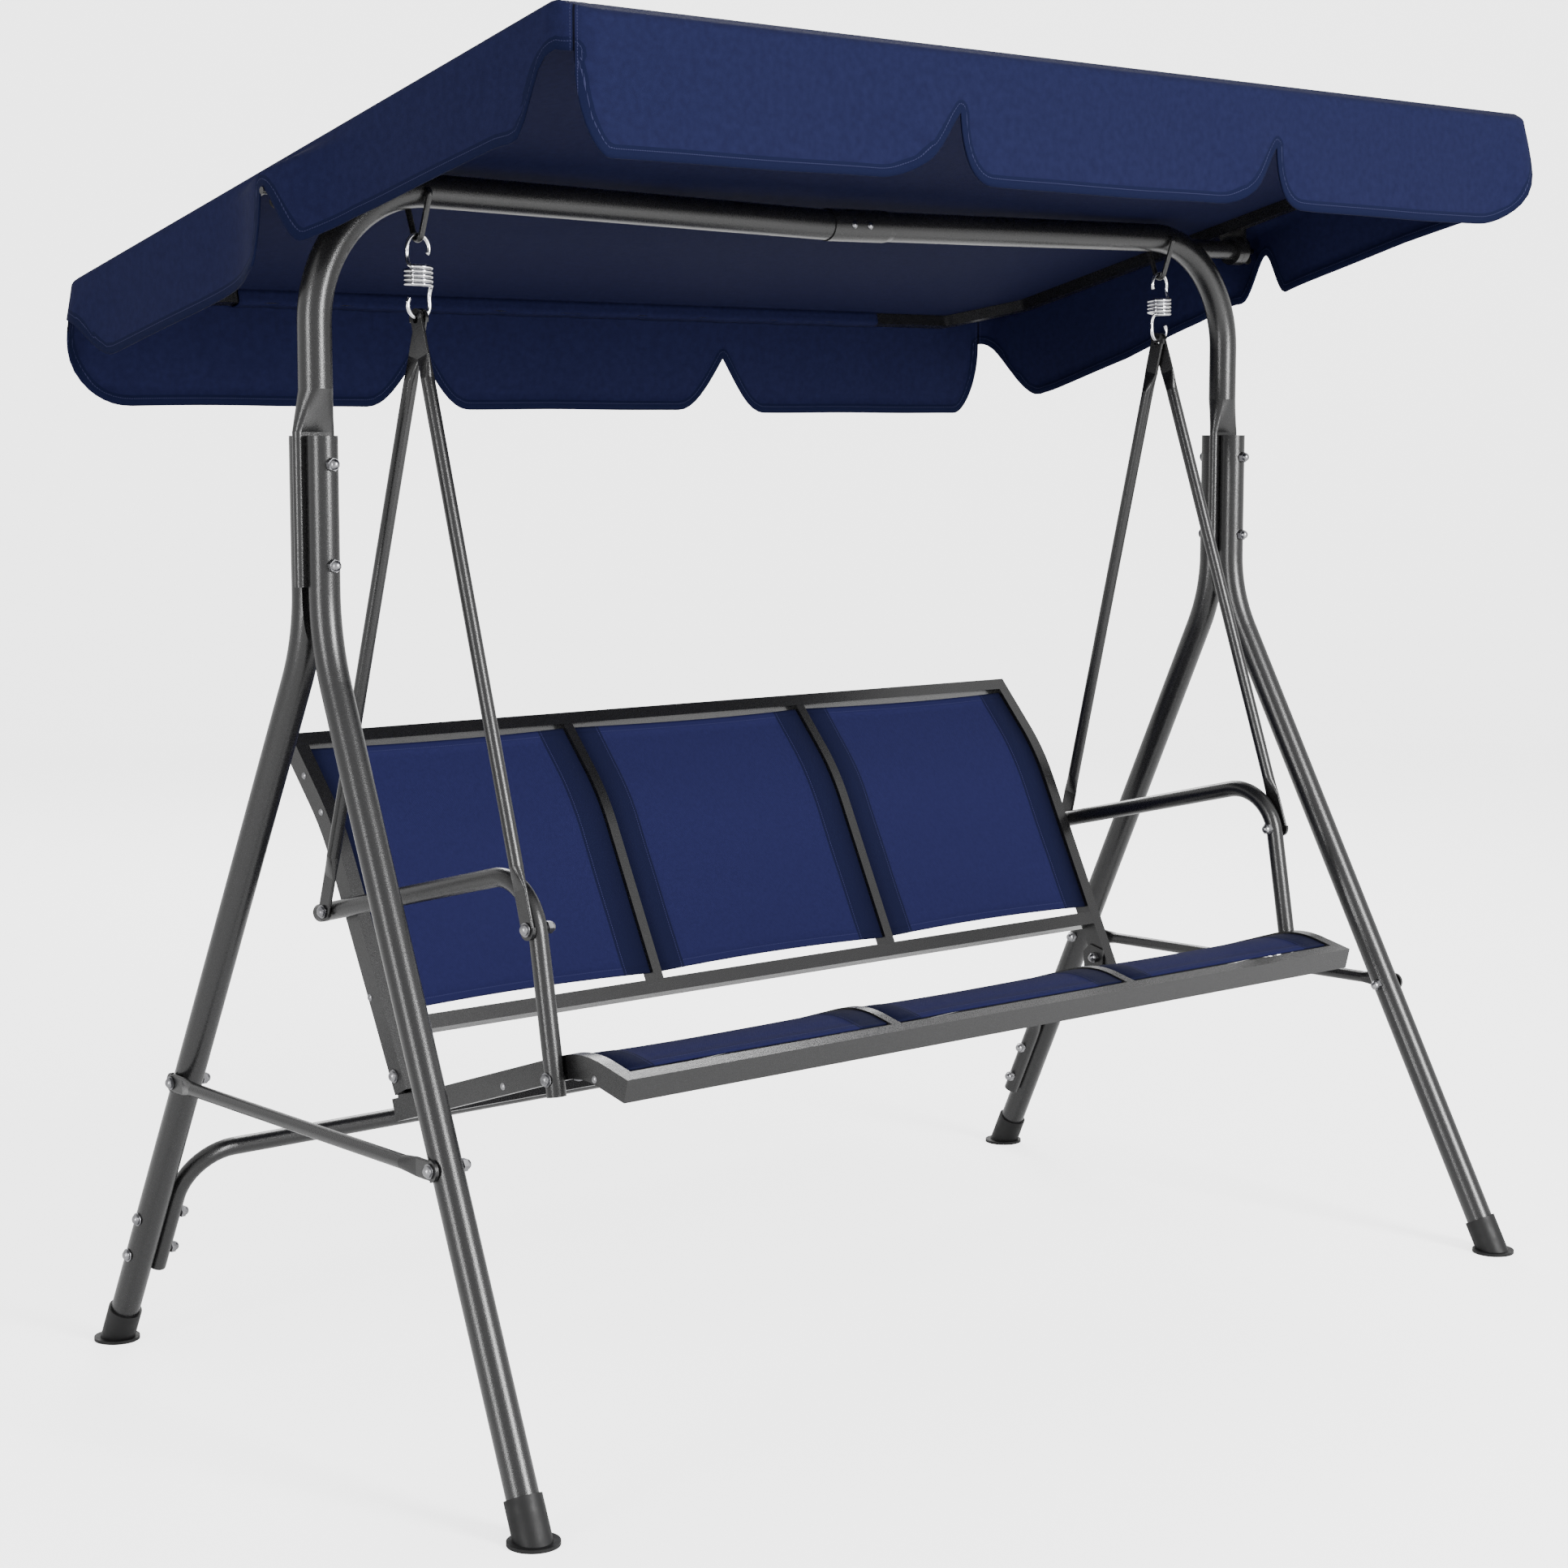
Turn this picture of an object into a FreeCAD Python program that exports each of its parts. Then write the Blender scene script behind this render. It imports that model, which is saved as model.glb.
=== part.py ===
# A three-seat patio swing: a tube stand, a sling seat hung from two springs, and a tilting cloth canopy.
# X runs along the seat, -Y is the front, Z is up. The origin is on the floor, under the middle of the
# whole object. Inside this file Y = 0 is the plane of the two posts; the last step moves the parts.
import FreeCAD, Part
import math
import os
import Sketcher
from FreeCAD import Placement, Rotation, Vector

SIZES = {
    "leg_dia": 35, "leg_wall": 1.2, "leg_bend": 235,
    "post_x": 766, "post_inset": 4, "post_knee": 890, "post_top": 1114, "post_flat": 28,
    "foot_front_x": 822, "foot_front_y": -456, "foot_rear_x": 788, "foot_rear_y": 446,
    "leg_start": 12, "plate_dia": 56, "plate_thick": 4, "sleeve_dia": 41, "sleeve_length": 48,
    "beam_dia": 38, "beam_wall": 1.2, "beam_z": 1386, "beam_sag": 10, "beam_bend": 150,
    "blade_width": 52, "blade_thick": 13, "blade_bottom": 949, "blade_top": 1118, "blade_taper": 1165,
    "post_bolt_high": 1083, "post_bolt_low": 973,
    "bolt_dia": 8, "hole_dia": 8.6, "screw_dia": 4,
    "brace_dia": 16, "brace_z": 353, "flat_thick": 4, "flat_width": 22,
    "crossbar_dia": 22, "crossbar_z": 250, "crossbar_end_z": 98, "crossbar_bend": 65,
    "crossbar_bolt_high": 170, "crossbar_bolt_low": 121, "thin_wall": 1.0,
    "hanger_x": 624, "hook_rod": 7, "swing_axis_z": 1337.6,
    "wire_dia": 4.7, "spring_dia": 34, "spring_turns": 4.5, "spring_pitch": 4.85, "spring_reach": 92.7,
    "hanger_dia": 16, "hanger_hole": 10,
    "seat_half": 618, "rail_width": 18, "rail_depth": 27, "back_depth": 25, "rail_wall": 1.2,
    "divider_x": 203, "divider_width": 14, "divider_depth": 20, "sling_thick": 1.2, "sling_play": 0.4,
    "armrest_dia": 22, "armrest_bend": 66,
    "canopy_tilt": 13.6, "canopy_front": 521, "canopy_rear": 522, "canopy_half": 790, "canopy_round": 40,
    "canopy_lift": 40.4, "brow_depth": 32, "brow_drop": 11, "cloth_thick": 1.2,
    "bar_size": 16, "bar_wall": 1, "arm_x": 776,
    "arm_bend": 25, "arm_cut_x": 70, "arm_cut_y": 104, "arm_turn_in": 560,
    "drop_front": 150, "drop_rear": 138, "drop_sides": 120, "notch_height": 68, "notch_round": 23,
    "pivot_z": 1375, "stub_dia": 25, "stub_end": 774, "disc_dia": 40, "disc_thick": 9.8, "nut_bore": 8.16,
    "origin_back": 10.8,
}
X, Y, Z = Vector(1, 0, 0), Vector(0, 1, 0), Vector(0, 0, 1)
SIDES = {"left": -1, "right": 1}

doc = FreeCAD.newDocument("glider_swing")
sheet = doc.addObject("Spreadsheet::Sheet", "sizes")
for row, (alias, value) in enumerate(SIZES.items(), 1):
    sheet.set("A%d" % row, alias)
    sheet.set("B%d" % row, str(value))
    sheet.setAlias("B%d" % row, alias)
doc.recompute()
pieces = []


def size(alias):
    """A driving dimension, read from the sheet."""
    return float(sheet.get(alias))


def keep(piece, label):
    """Name a finished sub-part and put it on the list that is exported."""
    piece.Label = label
    pieces.append(piece)
    return piece


def keep_shape(label, shape):
    """A sub-part whose shape is made by this file's own functions."""
    piece = doc.addObject("Part::Feature", label)
    piece.Shape = shape
    return keep(piece, label)


# ---------------------------------------------------------------- routes: straight runs joined by arcs

def plane_of(points, normal=None):
    """The placement whose XY plane holds a route: origin at its first point, X along its first run."""
    along = (points[1] - points[0]).normalize()
    if normal is None:
        normal = along.cross(points[-1] - points[0])
    normal = normal.normalize()
    return Placement(points[0], Rotation(along, normal.cross(along), normal, "XYZ"))


def route_edges(points, radii):
    """Lines through the points, with an arc of the given radius at each inner point."""
    edges = []
    start = points[0]
    for before, corner, after, radius in zip(points, points[1:], points[2:], radii):
        come = (corner - before).normalize()
        leave = (after - corner).normalize()
        half = come.getAngle(leave) / 2
        first = corner - come * radius * math.tan(half)
        last = corner + leave * radius * math.tan(half)
        middle = corner + (leave - come).normalize() * radius * (1 / math.cos(half) - 1)
        edges.append(Part.LineSegment(start, first))
        edges.append(Part.Arc(first, middle, last))
        start = last
    edges.append(Part.LineSegment(start, points[-1]))
    return edges


def wire_of(points, radii):
    return Part.Wire([edge.toShape() for edge in route_edges(points, radii)])


def rod(points, radii, dia):
    """A solid round rod swept along a route."""
    along = (points[1] - points[0]).normalize()
    ring = Part.Wire(Part.makeCircle(dia / 2, points[0], along))
    return wire_of(points, radii).makePipeShell([ring], True, True)


def cylinder(start, end, dia):
    return Part.makeCylinder(dia / 2, (end - start).Length, start, end - start)


def offset_route(points, distance):
    """The same route moved sideways in its YZ plane; a positive distance is to the left of travel."""
    moved = []
    for index, point in enumerate(points):
        runs = []
        if index > 0:
            runs.append((point - points[index - 1]).normalize())
        if index < len(points) - 1:
            runs.append((points[index + 1] - point).normalize())
        sides = [X.cross(run) for run in runs]
        middle = sum(sides[1:], sides[0]).normalize()
        moved.append(point + middle * distance / middle.dot(sides[0]))
    return moved


def at_x(x, outline):
    """Side-view (y, z) points placed at one x."""
    return [Vector(x, y, z) for y, z in outline]


# ---------------------------------------------------------------- parametric tubes and bars

def origin_plane(body, role):
    return next(f for f in body.Origin.OriginFeatures if f.Role == role)


def new_sketch(body, name, role):
    sketch = body.newObject("Sketcher::SketchObject", name)
    sketch.AttachmentSupport = [(origin_plane(body, role), "")]
    sketch.MapMode = "FlatFace"
    return sketch


def bound_circle(sketch, radius_formula):
    """A circle about the sketch's origin whose radius follows the sheet."""
    circle = sketch.addGeometry(Part.Circle(Vector(), Z, 5 + sketch.GeometryCount))
    sketch.addConstraint(Sketcher.Constraint("Coincident", circle, 3, -1, 1))
    radius = sketch.addConstraint(Sketcher.Constraint("Radius", circle, 5 + circle))
    sketch.setExpression("Constraints[%d]" % radius, radius_formula)


def bound_rectangle(sketch, depth_formula, width_formula):
    """A rectangle about the sketch's origin whose two sizes follow the sheet."""
    corners = [Vector(-5, -5), Vector(5, -5), Vector(5, 5), Vector(-5, 5)]
    first = sketch.GeometryCount
    for start, end in zip(corners, corners[1:] + corners[:1]):
        sketch.addGeometry(Part.LineSegment(start, end))
    for side in range(4):
        here, after = first + side, first + (side + 1) % 4
        sketch.addConstraint(Sketcher.Constraint("Coincident", here, 2, after, 1))
        direction = "Horizontal" if side % 2 == 0 else "Vertical"
        sketch.addConstraint(Sketcher.Constraint(direction, here))
    sketch.addConstraint(Sketcher.Constraint("Symmetric", first, 1, first + 2, 1, -1, 1))
    depth = sketch.addConstraint(Sketcher.Constraint("DistanceX", first, 1, first, 2, 10))
    width = sketch.addConstraint(Sketcher.Constraint("DistanceY", first + 1, 1, first + 1, 2, 10))
    sketch.setExpression("Constraints[%d]" % depth, depth_formula)
    sketch.setExpression("Constraints[%d]" % width, width_formula)


def swept_body(name, points, radii, normal, draw_section):
    """A PartDesign body: one section pushed along a flat route."""
    body = doc.addObject("PartDesign::Body", name)
    place = plane_of(points, normal)
    flat = [place.inverse().multVec(point) for point in points]
    route = new_sketch(body, name + "_route", "XY_Plane")
    for edge in route_edges(flat, radii):
        if isinstance(edge, Part.Arc):
            edge = Part.ArcOfCircle(edge.value(edge.FirstParameter),
                                    edge.value((edge.FirstParameter + edge.LastParameter) / 2),
                                    edge.value(edge.LastParameter))
        route.addGeometry(edge)
    section = new_sketch(body, name + "_section", "YZ_Plane")
    draw_section(section)
    sweep = body.newObject("PartDesign::AdditivePipe", name + "_sweep")
    sweep.Profile = section
    sweep.Spine = (route, [])
    body.Tip = sweep
    body.Placement = place
    return body


def round_tube(name, points, radii, dia, wall, normal=None):
    """A hollow round tube; dia and wall are names in the sheet."""
    def section(sketch):
        bound_circle(sketch, "<<sizes>>.%s / 2" % dia)
        bound_circle(sketch, "<<sizes>>.%s / 2 - <<sizes>>.%s" % (dia, wall))
    return swept_body(name, points, radii, normal, section)


def box_tube(name, points, radii, depth, width, wall, normal=X):
    """A hollow rectangular tube: depth lies in the plane of its route, width across it."""
    def section(sketch):
        bound_rectangle(sketch, "<<sizes>>." + depth, "<<sizes>>." + width)
        bound_rectangle(sketch, "<<sizes>>.%s - 2 * <<sizes>>.%s" % (depth, wall),
                        "<<sizes>>.%s - 2 * <<sizes>>.%s" % (width, wall))
    return swept_body(name, points, radii, normal, section)


def cloth_strip(name, points, radii, width_formula, normal=X):
    """A thin sheet of even width that follows a route."""
    def section(sketch):
        bound_rectangle(sketch, "<<sizes>>.sling_thick", width_formula)
    return swept_body(name, points, radii, normal, section)


def drilled(base, label, holes, length=80):
    """The piece with bolt holes through it; a hole is its (centre, direction)."""
    drills = []
    for number, (centre, direction) in enumerate(holes, 1):
        drill = doc.addObject("Part::Cylinder", "%s_drill_%d" % (label, number))
        drill.setExpression("Radius", "<<sizes>>.hole_dia / 2")
        drill.Height = length
        drill.Placement = Placement(centre - direction * length / 2, Rotation(Z, direction))
        drills.append(drill)
    tool = drills[0]
    if len(drills) > 1:
        tool = doc.addObject("Part::MultiFuse", label + "_drills")
        tool.Shapes = drills
    cut = doc.addObject("Part::Cut", label)
    cut.Base = base
    cut.Tool = tool
    return keep(cut, label)


def drill_shape(shape, holes, length=80):
    """The same for a plain shape."""
    for centre, direction in holes:
        shape = shape.cut(cylinder(centre - direction * length / 2, centre + direction * length / 2,
                                   size("hole_dia")))
    return shape


# ---------------------------------------------------------------- stand: legs and feet

def leg_axis(side, end):
    """Foot, knee and top of a leg's centre line."""
    lean = size("blade_thick") / 2 + size("post_flat") - size("leg_dia") / 2
    top_y = -lean if end == "front" else lean
    foot = Vector(side * size("foot_%s_x" % end), size("foot_%s_y" % end), 0)
    knee = Vector(side * size("post_x"), top_y, size("post_knee"))
    top = Vector(side * size("post_x"), top_y, size("post_top"))
    return foot, knee, top


def leg_point(side, end, height):
    """Where the sloping part of a leg is at one height."""
    foot, knee, _ = leg_axis(side, end)
    return foot + (knee - foot) * (height / knee.z)


def leg(name, side, end):
    """A round tube with a knee, its upper part flattened on the side that grips the post blade."""
    foot, knee, top = leg_axis(side, end)
    out = -1 if end == "front" else 1
    start = foot + (knee - foot).normalize() * size("leg_start")
    wall = size("leg_wall")
    hollow = None
    for inset in (0, wall):
        tube = rod([start, knee, top], [size("leg_bend")], size("leg_dia") - 2 * inset)
        gap = size("blade_thick") / 2 + inset + 0.05
        keep_out = Part.makeBox(200, 200, 400, Vector(side * size("post_x") - 100, -100, 800))
        keep_out.translate(Vector(0, -out * (100 - gap), 0))
        tube = tube.cut(keep_out)
        hollow = tube if hollow is None else hollow.cut(tube)
    holes = [(Vector(side * size("post_x"), 0, size("post_bolt_" + level)), Y) for level in ("high", "low")]
    holes.append((leg_point(side, end, size("brace_z")), X))
    if end == "rear":
        holes += [(leg_point(side, end, size("crossbar_bolt_" + level)), X) for level in ("high", "low")]
    keep_shape(name, drill_shape(hollow, holes, 90))


def foot_cap(name, side, end):
    """A plastic sleeve on a round floor plate, with a socket for the leg."""
    foot, knee, _ = leg_axis(side, end)
    along = (knee - foot).normalize()
    plate = doc.addObject("Part::Cylinder", name + "_plate")
    plate.setExpression("Radius", "<<sizes>>.plate_dia / 2")
    plate.setExpression("Height", "<<sizes>>.plate_thick")
    plate.Placement = Placement(foot, Rotation())
    sleeve = doc.addObject("Part::Cylinder", name + "_sleeve")
    sleeve.setExpression("Radius", "<<sizes>>.sleeve_dia / 2")
    sleeve.setExpression("Height", "<<sizes>>.sleeve_length + 30")
    sleeve.Placement = Placement(foot - along * 30, Rotation(Z, along))
    above = doc.addObject("Part::Box", name + "_above_floor")
    above.Length = 200
    above.Width = 200
    above.Height = 200
    above.Placement = Placement(foot - Vector(100, 100, 0), Rotation())
    trimmed = doc.addObject("Part::Common", name + "_trimmed")
    trimmed.Base = sleeve
    trimmed.Tool = above
    joined = doc.addObject("Part::Fuse", name + "_joined")
    joined.Base = plate
    joined.Tool = trimmed
    socket = doc.addObject("Part::Cylinder", name + "_socket")
    socket.setExpression("Radius", "<<sizes>>.leg_dia / 2 + 0.1")
    socket.Height = 100
    socket.Placement = Placement(foot + along * (size("leg_start") - 0.1), Rotation(Z, along))
    cap = doc.addObject("Part::Cut", name)
    cap.Base = joined
    cap.Tool = socket
    keep(cap, name)


# ---------------------------------------------------------------- stand: top beam

def flat_oval(centre, width, thick):
    """A level outline of four edges: two sides and two round ends. Equal sizes give a circle."""
    half = thick / 2
    if width - thick < 0.01:
        corners = [Rotation(Z, angle).multVec(X * half) for angle in (-45, 45, 135, 225)]
        mids = [Rotation(Z, angle).multVec(X * half) for angle in (0, 90, 180, 270)]
        edges = [Part.Arc(centre + corners[i], centre + mids[i], centre + corners[(i + 1) % 4]).toShape()
                 for i in range(4)]
        return Part.Wire(edges)
    reach = (width - thick) / 2
    a, b = Vector(reach, -half), Vector(reach, half)
    right = Part.Arc(centre + a, centre + Vector(width / 2), centre + b)
    left = Part.Arc(centre - a, centre - Vector(width / 2), centre - b)
    top = Part.LineSegment(centre + b, centre - a)
    bottom = Part.LineSegment(centre - b, centre + a)
    return Part.Wire([right.toShape(), top.toShape(), left.toShape(), bottom.toShape()])


def beam_route(side):
    """Beam centre, bend corner and the end of the round part of one post."""
    slope = size("beam_sag") / (size("post_x") - size("beam_bend"))
    middle = Vector(0, 0, size("beam_z") - size("beam_sag"))
    round_x = size("post_x") - size("post_inset")
    corner = Vector(side * round_x, 0, middle.z + slope * round_x)
    return middle, corner, Vector(corner.x, 0, size("blade_taper"))


def post_and_beam(side, inset):
    """One half's outer form, or with an inset its hollow."""
    middle, corner, end = beam_route(side)
    dia = size("beam_dia") - 2 * inset
    if side > 0:
        along = (corner - middle).normalize()
        mouth = middle - along * 6
        sleeve_dia = size("beam_dia") + 0.3 + 2 * (size("beam_wall") - inset)
        swell = cylinder(mouth, middle + along * 90, sleeve_dia)
        neck = Part.makeCone(sleeve_dia / 2, dia / 2, 10, middle + along * 90, along)
        form = swell.fuse([neck, rod([middle + along * 99, corner, end], [size("beam_bend")], dia)])
    else:
        inner_corner = beam_route(1)[1]
        into = (inner_corner - middle).normalize()
        form = rod([middle + into * 80, middle - into * 8, corner, end], [400, size("beam_bend")], dia)
    high = Vector(side * size("post_x"), 0, size("blade_top"))
    low = Vector(side * size("post_x"), 0, size("blade_bottom"))
    width, thick = size("blade_width") - 2 * inset, size("blade_thick") - 2 * inset
    taper = Part.makeLoft([flat_oval(end, dia, dia), flat_oval(high, width, thick)], True, False)
    blade = Part.Face(flat_oval(low, width, thick)).extrude(high - low)
    return form.fuse([taper, blade]).removeSplitter()


def top_beam(name, side):
    """Half of the beam with its bend and post; the post's lower end is pressed to a flat blade."""
    half = post_and_beam(side, 0).cut(post_and_beam(side, size("beam_wall")))
    holes = [(Vector(side * size("post_x"), 0, size("post_bolt_" + level)), Y) for level in ("high", "low")]
    half = drill_shape(half, holes)
    for x in beam_screw_places():
        half = half.cut(cylinder(Vector(x, -40, beam_screw_z()), Vector(x, 0, beam_screw_z()), 4.3))
    for y in (-1, 1):
        start = Vector(side * size("hanger_x"), y * 30, hook_pin_z())
        half = half.cut(cylinder(start, start - Y * y * 16, size("hook_rod") + 0.2))
    keep_shape(name, half)


def beam_screw_places():
    return (25, 52)


def beam_screw_z():
    return size("beam_z") - size("beam_sag")


def beam_screws():
    """Two pan-head screws that pin the sleeve to the tube inside it."""
    screws = []
    for x in beam_screw_places():
        face = Vector(x, -size("beam_dia") / 2 - 1.7, beam_screw_z())
        head = Part.makeSphere(5.5, face + Y * 3).common(cylinder(face - Y * 3, face, 10))
        screws.append(head.fuse(cylinder(face, face + Y * 6, size("screw_dia"))))
    keep_shape("beam_screws", Part.makeCompound(screws))


# ---------------------------------------------------------------- stand: braces, crossbar, bolts

def flattened(start, end, dia, wall, flat, hole_dia, across):
    """A straight tube whose two ends are pressed flat, rounded and drilled; across is the flat's normal."""
    along = (end - start).normalize()
    length = (end - start).Length
    width, thick = size("flat_width"), size("flat_thick")
    radius, tip, taper = dia / 2, width / 2 + 1, 26
    first, second = flat + taper, length - flat - taper
    tube = Part.makeCylinder(radius, second - first, Z * first)
    tube = tube.cut(Part.makeCylinder(radius - wall, second - first, Z * first))
    solids = [tube]
    for base, up in ((0, 1), (length, -1)):
        ends = [flat_oval(Z * (base + up * (flat + taper)), dia, dia),
                flat_oval(Z * (base + up * flat), width, thick)]
        solids.append(Part.makeLoft(ends, True, False))
        low, high = sorted((base, base + up * flat))
        tongue = Part.Face(flat_oval(Z * low, width, thick)).extrude(Z * (high - low))
        eye = Part.makeCylinder(tip, thick, Vector(0, -thick / 2, base), Y)
        rim = Part.makeCylinder(tip, thick, Vector(0, -thick / 2, base), Y)
        rim = rim.cut(Part.makeBox(4 * tip, thick, 4 * tip, Vector(-2 * tip, -thick / 2, base - 2 * tip
                                                                   + 2 * tip * up)))
        solids += [tongue, eye.common(rim)]
    form = solids[0].fuse(solids[1:])
    for base in (0, length):
        form = form.cut(Part.makeCylinder(hole_dia / 2, 2 * dia, Vector(0, -dia, base), Y))
    across = (across - along * across.dot(along)).normalize()
    form.Placement = Placement(start, Rotation(across.cross(along) * -1, across, along, "ZYX"))
    return form


def side_brace(name, side):
    """The low bar between a front and a rear leg, bolted to their outer sides."""
    out = size("leg_dia") / 2 + size("flat_thick") / 2 + 0.7
    ends = [leg_point(side, end, size("brace_z")) + X * side * out for end in ("front", "rear")]
    keep_shape(name, flattened(ends[0], ends[1], size("brace_dia"), size("thin_wall"), 26,
                               size("hole_dia"), X))


def crossbar_point(side, height):
    inward = (size("leg_dia") + size("crossbar_dia")) / 2 + 0.4
    return leg_point(side, "rear", height) - X * side * inward


def rear_crossbar():
    """The low bar between the rear legs; its two ends turn down along the legs' inner sides."""
    ends = [crossbar_point(side, size("crossbar_end_z")) for side in (-1, 1)]
    corners = [crossbar_point(side, size("crossbar_z")) for side in (-1, 1)]
    tube = round_tube("rear_crossbar_tube", [ends[0], corners[0], corners[1], ends[1]],
                      [size("crossbar_bend")] * 2, "crossbar_dia", "thin_wall")
    holes = [(crossbar_point(side, size("crossbar_bolt_" + level)), X)
             for side in (-1, 1) for level in ("high", "low")]
    drilled(tube, "rear_crossbar", holes)


def bolt_and_nut(head_face, nut_face):
    """A domed bolt under whose head and nut the clamped pieces lie; returns the two solids."""
    axis = (nut_face - head_face).normalize()
    dia = size("bolt_dia")
    washer = cylinder(head_face - axis * 1.4, head_face, 16)
    dome = Part.makeSphere(7.2, head_face + axis * 0.4).common(cylinder(head_face - axis * 6, head_face
                                                                        - axis * 1.4, 12.5))
    shank = cylinder(head_face - axis * 1.4, nut_face + axis * 7, dia)
    bolt = washer.fuse([dome, shank])
    hexagon = [Rotation(axis, 60 * turn).multVec(axis.cross(Z + X * 0.3).normalize() * 7.5)
               for turn in range(7)]
    nut = Part.Face(Part.makePolygon([nut_face + corner for corner in hexagon])).extrude(axis * 6)
    cap = Part.makeSphere(6, nut_face + axis * 6).common(cylinder(nut_face + axis * 6,
                                                                  nut_face + axis * 12, 13))
    nut = nut.fuse(cap).cut(cylinder(nut_face - axis, nut_face + axis * 7.2, dia + 0.1))
    return [bolt, nut]


def stand_bolts():
    """Every through bolt of the stand: two per post, one per brace end, two per crossbar end."""
    solids = []
    reach = size("blade_thick") / 2 + size("post_flat") + 0.1
    for side in SIDES.values():
        for level in ("high", "low"):
            place = Vector(side * size("post_x"), 0, size("post_bolt_" + level))
            solids += bolt_and_nut(place + Y * reach, place - Y * reach)
            leg_at = leg_point(side, "rear", size("crossbar_bolt_" + level))
            outer = leg_at + X * side * (size("leg_dia") / 2 + 0.2)
            inner = leg_at - X * side * (size("leg_dia") / 2 + size("crossbar_dia") + 0.8)
            solids += bolt_and_nut(outer, inner)
        for end in ("front", "rear"):
            leg_at = leg_point(side, end, size("brace_z"))
            outer = leg_at + X * side * (size("leg_dia") / 2 + size("flat_thick") + 1.4)
            inner = leg_at - X * side * (size("leg_dia") / 2 + 0.6)
            solids += bolt_and_nut(outer, inner)
    keep_shape("stand_bolts", Part.makeCompound(solids))


# ---------------------------------------------------------------- stand: swing hooks and canopy stubs

def hook_pin_z():
    return size("beam_z") - 1


def swing_hook(name, side):
    """A V of round rod under the beam; its two tips turn in through the tube's wall."""
    x, pin_z = side * size("hanger_x"), hook_pin_z()
    half, bend = 25.5, 8
    saddle = size("swing_axis_z") - size("wire_dia") / 2 - size("hook_rod") / 2 - 0.3
    rise = pin_z - (saddle + bend)
    lean = math.atan2(half, rise) - math.asin(bend / math.hypot(half, rise))
    low = pin_z - half / math.tan(lean)
    route = at_x(x, [(-16.5, pin_z), (-half, pin_z), (0, low), (half, pin_z), (16.5, pin_z)])
    keep_shape(name, rod(route, [4, bend, 4], size("hook_rod")))


def toothed_disc(x, side, out):
    """A round clamping disc with radial teeth on its outward face."""
    disc = Part.makeCylinder(size("disc_dia") / 2, size("disc_thick"), Vector(x, 0, size("pivot_z")), X * out)
    face = x + out * size("disc_thick")
    for tooth in range(24):
        groove = Part.makeBox(1.2, 10, 1.6, Vector(-0.6, size("disc_dia") / 2 - 9.5, -0.8))
        groove.Placement = Placement(Vector(face, 0, size("pivot_z")), Rotation(X, 15 * tooth))
        disc = disc.cut(groove)
    return disc


def pivot_stub(name, side):
    """The short tube on each beam bend with its toothed disc and the canopy's clamp bolt."""
    axis = Vector(0, 0, size("pivot_z"))
    inner, outer = side * 690, side * size("stub_end")
    stub = cylinder(axis + X * inner, axis + X * outer, size("stub_dia"))
    disc = toothed_disc(outer, side, side)
    stud_end = outer + side * (size("disc_thick") + 42)
    stud = cylinder(axis + X * (outer - side * 4), axis + X * stud_end, size("bolt_dia"))
    stub = stub.fuse([disc, stud]).cut(post_and_beam(side, 0))
    keep_shape(name, max(stub.Solids, key=lambda solid: solid.Volume))


# ---------------------------------------------------------------- canopy

def canopy_place():
    """The canopy's own frame: origin on the tilt axis, X along the beam, Y down its slope to the rear."""
    return Placement(Vector(0, 0, size("pivot_z")), Rotation(X, -size("canopy_tilt")))


def canopy_point(x, along, up):
    return canopy_place().multVec(Vector(x, along, up))


def bar_height():
    return size("canopy_lift") - size("bar_size") / 2 - 0.3


def bar_ends():
    """Where the front and the rear bar run, along the slope."""
    inset = size("bar_size") / 2 + size("cloth_thick") + 1.5
    return -size("canopy_front") + inset + size("brow_depth"), size("canopy_rear") - inset


def canopy_arm(name, side):
    """A square tube along one side; both ends turn in, in two steps, to meet the front and the rear bar."""
    front, rear = bar_ends()
    x, up = side * size("arm_x"), bar_height()
    turned_in, inner = side * size("arm_turn_in"), x - side * size("arm_cut_x")
    places = [(turned_in, front), (inner, front), (x, front + size("arm_cut_y")),
              (x, rear - size("arm_cut_y")), (inner, rear), (turned_in, rear)]
    points = [canopy_point(place_x, along, up) for place_x, along in places]
    keep(box_tube(name + "_body", points, [size("arm_bend")] * 4, "bar_size", "bar_size", "bar_wall", None),
         name)


def canopy_bar(name, along):
    """The straight bar between the two arms at the front or the rear."""
    half = size("arm_turn_in") - 0.3
    points = [canopy_point(-half, along, bar_height()), canopy_point(half, along, bar_height())]
    normal = canopy_place().Rotation.multVec(Z)
    keep(box_tube(name + "_body", points, [], "bar_size", "bar_size", "bar_wall", normal), name)


BRACKET_THICK = 11


def bracket_start():
    return size("stub_end") + size("disc_thick") + 0.3


def canopy_bracket(name, side):
    """A clamping disc on a plate that is welded to the outer side of the arm."""
    thick, disc_reach = 4, size("disc_dia") / 2
    disc = Part.makeCylinder(disc_reach, BRACKET_THICK, X * bracket_start(), X)
    outline = [(-disc_reach + 1, 0), (disc_reach - 1, 0), (26, bar_height() + 6), (-26, bar_height() + 6)]
    corners = [Vector(bracket_start(), y, z) for y, z in outline]
    plate = Part.Face(Part.makePolygon(corners + corners[:1])).extrude(X * thick)
    bracket = disc.fuse(plate).cut(Part.makeCylinder(size("bolt_dia") / 2 + 0.2, 60, X * 760, X))
    if side < 0:
        bracket = bracket.mirror(Vector(), X)
    bracket.Placement = canopy_place().multiply(bracket.Placement)
    keep_shape(name, bracket)


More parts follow.
